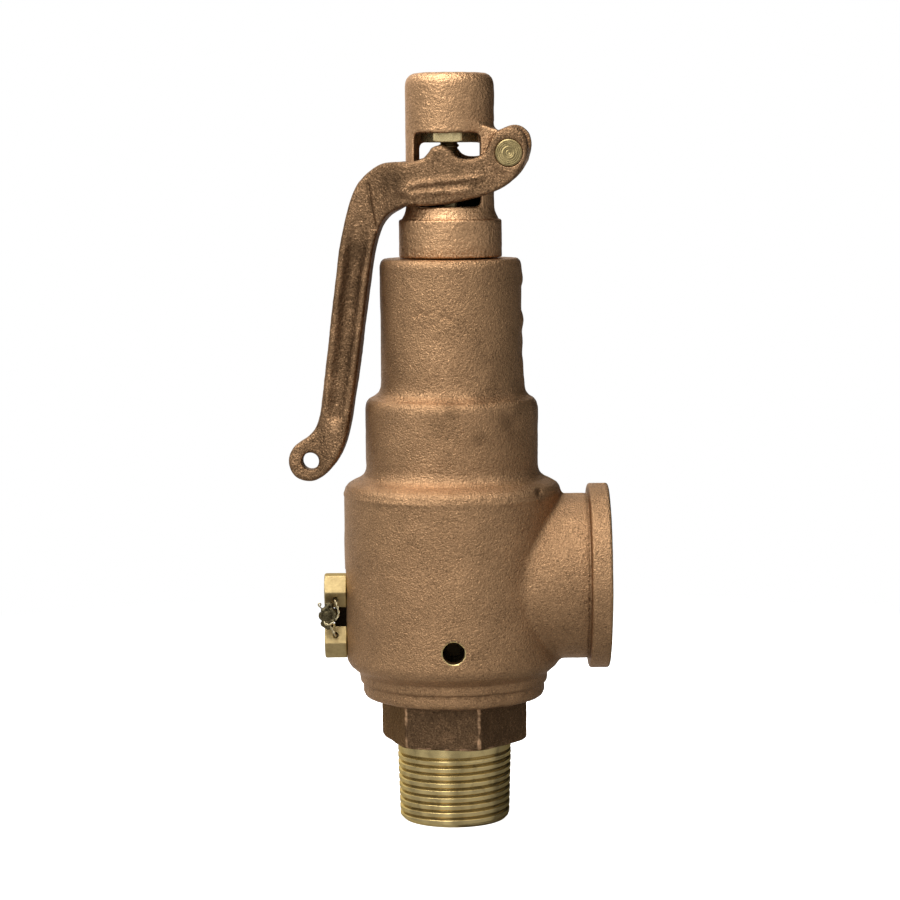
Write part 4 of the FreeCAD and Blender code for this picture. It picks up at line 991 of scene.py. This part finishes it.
# =====================================================================  lead seal and twisted wire
def seal_field(p):
    x, y, z = p[:, 0] + 36.7, p[:, 1] + 6.0, p[:, 2] - 61.5
    r = np.hypot(x, z)
    lump = 0.16 * noise(p, 1.6, 71) + 0.07 * noise(p, 0.7, 72)
    d = smax(r - 2.75 - lump, np.abs(y) - 1.12, 1.0)
    for lx, lz, ax, az in ((0.15, -3.15, 1.45, 1.05), (0.35, 3.0, 1.35, 0.95), (-1.5, -2.2, 0.9, 1.2)):
        lobe = np.sqrt(((x - lx) / ax) ** 2 + ((z - lz) / az) ** 2 + (y / 0.95) ** 2) - 1.0 - 0.6 * lump
        d = smin(d, lobe * 0.9, 0.5)
    # pressed faces with a raised middle, a nick where each wire enters
    dish = 0.22 * np.exp(-((r - 1.55) / 0.45) ** 2) - 0.08 * np.exp(-(r / 0.6) ** 2)
    d = d + dish * (np.abs(y) > 0.4)
    for ax, az in ((0.55, 2.5), (0.9, -2.4), (-2.3, 1.2), (-2.2, -1.6)):
        d = d + 0.3 * np.exp(-((x - ax) ** 2 + (z - az) ** 2) / 0.16)
    return d


seal = from_field("crimped_seal", seal_field, (-39.9, -7.6, 57.0), (-33.5, -4.4, 64.7), 0.1, "valve",
                  LEAD)
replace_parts(seal, "lead_seal")


def smooth_path(pts, step=0.12):
    p = np.asarray(pts, float)
    p = np.vstack([2 * p[0] - p[1], p, 2 * p[-1] - p[-2]])
    out = []
    for i in range(1, len(p) - 2):
        n = max(2, int(np.linalg.norm(p[i + 1] - p[i]) / step))
        a, b, c, d = p[i - 1], p[i], p[i + 1], p[i + 2]
        for t in np.arange(n) / n:
            out.append(0.5 * (2 * b + (c - a) * t + (2 * a - 5 * b + 4 * c - d) * t ** 2 + (3 * b - a - 3 * c + d) * t ** 3))
    out.append(p[-2])
    return np.array(out)


def tube(path, radius, sides=10, offset=0.0, pitch=2.6, phase=0.0):
    """Round wire along a path; with an offset it winds round the path like one strand of a twisted pair."""
    t = np.gradient(path, axis=0)
    t /= np.linalg.norm(t, axis=1)[:, None]
    u = np.cross(t[0], [0.3, 0.2, 0.9])
    u /= np.linalg.norm(u)
    us = [u]
    for k in range(1, len(path)):
        u = us[-1] - t[k] * np.dot(us[-1], t[k])
        us.append(u / np.linalg.norm(u))
    us = np.array(us)
    ws = np.cross(t, us)
    s = np.concatenate([[0], np.cumsum(np.linalg.norm(np.diff(path, axis=0), axis=1))])
    if offset:
        a = s / pitch * 2 * math.pi + phase
        path = path + offset * (np.cos(a)[:, None] * us + np.sin(a)[:, None] * ws)
    b = np.arange(sides) * 2 * math.pi / sides
    v = path[:, None] + radius * (np.cos(b)[None, :, None] * us[:, None] + np.sin(b)[None, :, None] * ws[:, None])
    n = len(path)
    v = v.reshape(-1, 3)
    q = grid_faces(n, sides)
    v = np.vstack([v, path[0] - t[0] * radius * 0.5, path[-1] + t[-1] * radius * 0.5])
    tri = [(len(v) - 2, (j + 1) % sides, j) for j in range(sides)]
    tri += [(len(v) - 1, (n - 1) * sides + j, (n - 1) * sides + (j + 1) % sides) for j in range(sides)]
    return v, [tuple(f) for f in q[:, ::-1]] + [tuple(f[::-1]) for f in tri]


LOOP = [(-35.3, -6.2, 60.3), (-34.3, -6.9, 60.6), (-33.6, -7.0, 62.0), (-33.8, -6.9, 63.6), (-34.3, -6.6, 65.2),
        (-34.6, -5.4, 65.9), (-34.6, -2.0, 65.9), (-34.6, 2.0, 65.9), (-34.6, 5.6, 65.9), (-34.7, 7.0, 64.3), (-34.8, 7.3, 60.2), (-34.7, 7.0, 56.5),
        (-34.6, 5.6, 55.3), (-34.6, 2.0, 55.3), (-34.6, -2.0, 55.3), (-34.6, -5.6, 55.3), (-35.0, -6.9, 56.3),
        (-36.0, -6.7, 58.4), (-36.6, -6.0, 60.0)]
TAIL = [(-38.2, -6.0, 62.9), (-38.7, -6.3, 63.7), (-39.1, -6.6, 64.2), (-39.5, -6.6, 64.6), (-39.4, -6.6, 65.1),
        (-38.9, -6.5, 65.1), (-38.8, -6.3, 64.7), (-39.0, -6.1, 64.4)]
END = [(-38.2, -6.3, 60.2), (-37.6, -7.1, 59.3), (-36.6, -7.3, 58.9), (-35.6, -7.1, 59.3), (-35.1, -6.8, 60.0)]
verts, faces = [], []
strands = [(LOOP, 0.2, 0.19, 0.0), (LOOP, 0.2, 0.19, math.pi), (TAIL, 0.2, 0.0, 0.0), (END, 0.2, 0.17, 0.0), (END, 0.2, 0.17, math.pi)]
for pts, rad, off, ph in strands:
    v, f = tube(smooth_path(pts), rad, 10, off, 2.6, ph)
    base = sum(len(a) for a in verts)
    verts.append(v)
    faces += [tuple(i + base for i in q) for q in f]
wire = make_object("twisted_seal_wire", np.vstack(verts), faces, "valve", WIRE)
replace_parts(wire, "seal_wire")


# =====================================================================  CAD nodes that stay
# inner parts take the darkened brass as painted shade
KEPT = {"lower_regulating_ring": SHADE_DIMMED_BRASS, "upper_regulating_ring": SHADE_DIMMED_BRASS, "disc_guide": SHADE_DIMMED_BRASS, "valve_disc": STEEL,
        "disc_holder": SHADE_DIMMED_BRASS, "stem_cross_pin": STEEL, "lower_spring_step": STEEL, "upper_spring_step": STEEL,
        "spring": SPRING, "compression_screw": SHADE_BLACKENED_BRASS, "compression_lock_nut": SHADE_BLACKENED_BRASS}
for node, mat in KEPT.items():
    ob = nodes[node]
    for k in range(max(1, len(ob.material_slots))):
        if len(ob.material_slots) == 0:
            ob.data.materials.append(mat)
        else:
            ob.material_slots[k].material = mat


# =====================================================================  stage, light, camera
def stage_floor():
    me = bpy.data.meshes.new("floor")
    n, size = 24, 7.0
    g = np.linspace(-size, size, n)
    X, Y = np.meshgrid(g, g, indexing="ij")
    v = [(float(x), float(y), 0.0) for x, y in zip(X.ravel(), Y.ravel())]
    f = [(i * n + j, (i + 1) * n + j, (i + 1) * n + j + 1, i * n + j + 1) for i in range(n - 1) for j in range(n - 1)]
    me.from_pydata(v, [], f)
    me.update()
    ob = bpy.data.objects.new("floor", me)
    bpy.context.scene.collection.objects.link(ob)
    m, nt, sh = node_material("pale_floor")
    k = Net(nt)
    tone = k.mix(k.span(k.noise(40.0, 3.0), 0.3, 0.7), rgb(0.84, 0.84, 0.84), rgb(0.87, 0.87, 0.87))
    nt.links.new(tone, sh.inputs["Base Color"])
    sh.inputs["Roughness"].default_value = 0.9
    sh.inputs["Specular IOR Level"].default_value = 0.1
    # away from the object the floor runs out into an even white; bounce from it is held down
    ln = nt.nodes.new("ShaderNodeVectorMath")
    ln.operation = "LENGTH"
    nt.links.new(k.mm, ln.inputs[0])
    away = k.span(ln.outputs["Value"], 240.0, 420.0, 0.0, 1.0, True)
    lift = nt.nodes.new("ShaderNodeEmission")
    lift.inputs[0].default_value = rgb(0.90, 0.90, 0.90)
    near = nt.nodes.new("ShaderNodeAddShader")
    nt.links.new(sh.outputs[0], near.inputs[0])
    nt.links.new(lift.outputs[0], near.inputs[1])
    glow = nt.nodes.new("ShaderNodeEmission")
    glow.inputs[0].default_value = rgb(1.0, 1.0, 1.0)
    far = nt.nodes.new("ShaderNodeMixShader")
    nt.links.new(away, far.inputs[0])
    nt.links.new(near.outputs[0], far.inputs[1])
    nt.links.new(glow.outputs[0], far.inputs[2])
    soft = nt.nodes.new("ShaderNodeBsdfDiffuse")
    soft.inputs[0].default_value = rgb(0.26, 0.26, 0.26)
    clear = nt.nodes.new("ShaderNodeBsdfTransparent")
    under = nt.nodes.new("ShaderNodeMixShader")
    under.inputs[0].default_value = 0.42
    nt.links.new(soft.outputs[0], under.inputs[1])
    nt.links.new(clear.outputs[0], under.inputs[2])
    lp = nt.nodes.new("ShaderNodeLightPath")
    pick = nt.nodes.new("ShaderNodeMixShader")
    nt.links.new(lp.outputs["Is Camera Ray"], pick.inputs[0])
    nt.links.new(under.outputs[0], pick.inputs[1])
    nt.links.new(far.outputs[0], pick.inputs[2])
    out = next(n for n in nt.nodes if n.type == "OUTPUT_MATERIAL")
    nt.links.new(pick.outputs[0], out.inputs[0])
    me.materials.append(m)
    return ob


stage_floor()


def softbox(name, at, target, size, power, size_y=None, color=(1, 1, 1)):
    li = bpy.data.lights.new(name, "AREA")
    li.shape = "RECTANGLE"
    li.size = size
    li.size_y = size_y or size
    li.energy = power
    li.color = color
    ob = bpy.data.objects.new(name, li)
    bpy.context.scene.collection.objects.link(ob)
    d = Vector(target) - Vector(at)
    ob.location = at
    ob.rotation_euler = d.to_track_quat("-Z", "Y").to_euler()
    return ob


softbox("top_light", (-0.24, -0.18, 1.02), (0, 0, 0.12), 0.7, 9.0)
softbox("key_left", (-0.55, -1.05, 0.62), (0, 0, 0.13), 0.5, 2.6)

world = bpy.data.worlds.new("studio")
bpy.context.scene.world = world
world.use_nodes = True
wn = world.node_tree
wn.nodes.clear()
wo = wn.nodes.new("ShaderNodeOutputWorld")
bg = wn.nodes.new("ShaderNodeBackground")
wn.links.new(bg.outputs[0], wo.inputs[0])
wt = wn.nodes.new("ShaderNodeTexCoord")
ws = wn.nodes.new("ShaderNodeSeparateXYZ")
wn.links.new(wt.outputs["Generated"], ws.inputs[0])


def wmath(op, a, b=0.0):
    n = wn.nodes.new("ShaderNodeMath")
    n.operation = op
    for i, x in enumerate((a, b)):
        if isinstance(x, bpy.types.NodeSocket):
            wn.links.new(x, n.inputs[i])
        else:
            n.inputs[i].default_value = x
    return n.outputs[0]


def wramp(fac, stops):
    n = wn.nodes.new("ShaderNodeValToRGB")
    n.color_ramp.interpolation = "EASE"
    el = n.color_ramp.elements
    while len(el) > 1:
        el.remove(el[-1])
    el[0].position = stops[0][0]
    el[0].color = (stops[0][1],) * 3 + (1,)
    for pos, val in stops[1:]:
        e = el.new(pos)
        e.color = (val,) * 3 + (1,)
    wn.links.new(fac, n.inputs[0])
    return n.outputs[0]


# turn round the object, 0 behind it, 0.25 at its left, 0.5 in front, 0.75 at its right
angle = wmath("ARCTAN2", ws.outputs[0], ws.outputs[1])
turn01 = wmath("FRACT", wmath("ADD", wmath("DIVIDE", wmath("MULTIPLY", angle, -1.0), 2 * math.pi), 1.0))
around = wramp(turn01, [(0.0, 0.95), (0.05, 1.10), (0.11, 1.15), (0.18, 0.98), (0.22, 0.48), (0.27, 0.52), (0.295, 1.05),
                        (0.325, 1.00), (0.35, 0.66), (0.405, 0.74), (0.427, 1.60), (0.463, 1.60), (0.487, 0.44), (0.545, 0.42),
                        (0.565, 0.86), (0.66, 0.86), (0.735, 0.58), (0.762, 0.03), (0.95, 0.0), (0.975, 0.45), (1.0, 0.95)])
side = wramp(turn01, [(0.0, 0.9), (0.10, 1.0), (0.62, 1.0), (0.73, 0.40), (0.78, 0.12), (0.93, 0.08), (0.98, 0.9), (1.0, 1.0)])
height = wmath("MULTIPLY", wmath("ADD", ws.outputs[2], 1.0), 0.5)
dome = wmath("MULTIPLY", wramp(height, [(0.0, 0.0), (0.68, 0.0), (0.88, 1.40), (1.0, 1.68)]), side)
wm = wn.nodes.new("ShaderNodeVectorMath")
wm.operation = "MAXIMUM"
wn.links.new(around, wm.inputs[0])
wn.links.new(dome, wm.inputs[1])
wp = wn.nodes.new("ShaderNodeLightPath")
wx = wn.nodes.new("ShaderNodeMix")
wx.data_type = "RGBA"
wn.links.new(wp.outputs["Is Camera Ray"], wx.inputs[0])
wn.links.new(wm.outputs[0], wx.inputs[6])
wx.inputs[7].default_value = (1.0, 1.0, 1.0, 1.0)
wn.links.new(wx.outputs[2], bg.inputs["Color"])
bg.inputs["Strength"].default_value = 1.0

cam_data = bpy.data.cameras.new("camera")
cam_data.lens = 2742.0 * 36.0 / 900.0
cam_data.sensor_width = 36.0
cam_data.clip_start = 0.01
cam_data.clip_end = 50.0
camera = bpy.data.objects.new("camera", cam_data)
bpy.context.scene.collection.objects.link(camera)
PITCH, ROLL = math.radians(6.037), math.radians(0.46)
camera.matrix_world = (Matrix.Translation((-0.00061, -0.8, 0.19392)) @ Matrix.Rotation(math.radians(90) - PITCH, 4, "X")
                       @ Matrix.Rotation(-ROLL, 4, "Z"))
bpy.context.scene.camera = camera
bpy.context.scene.view_settings.view_transform = "Standard"
bpy.context.scene.view_settings.look = "None"
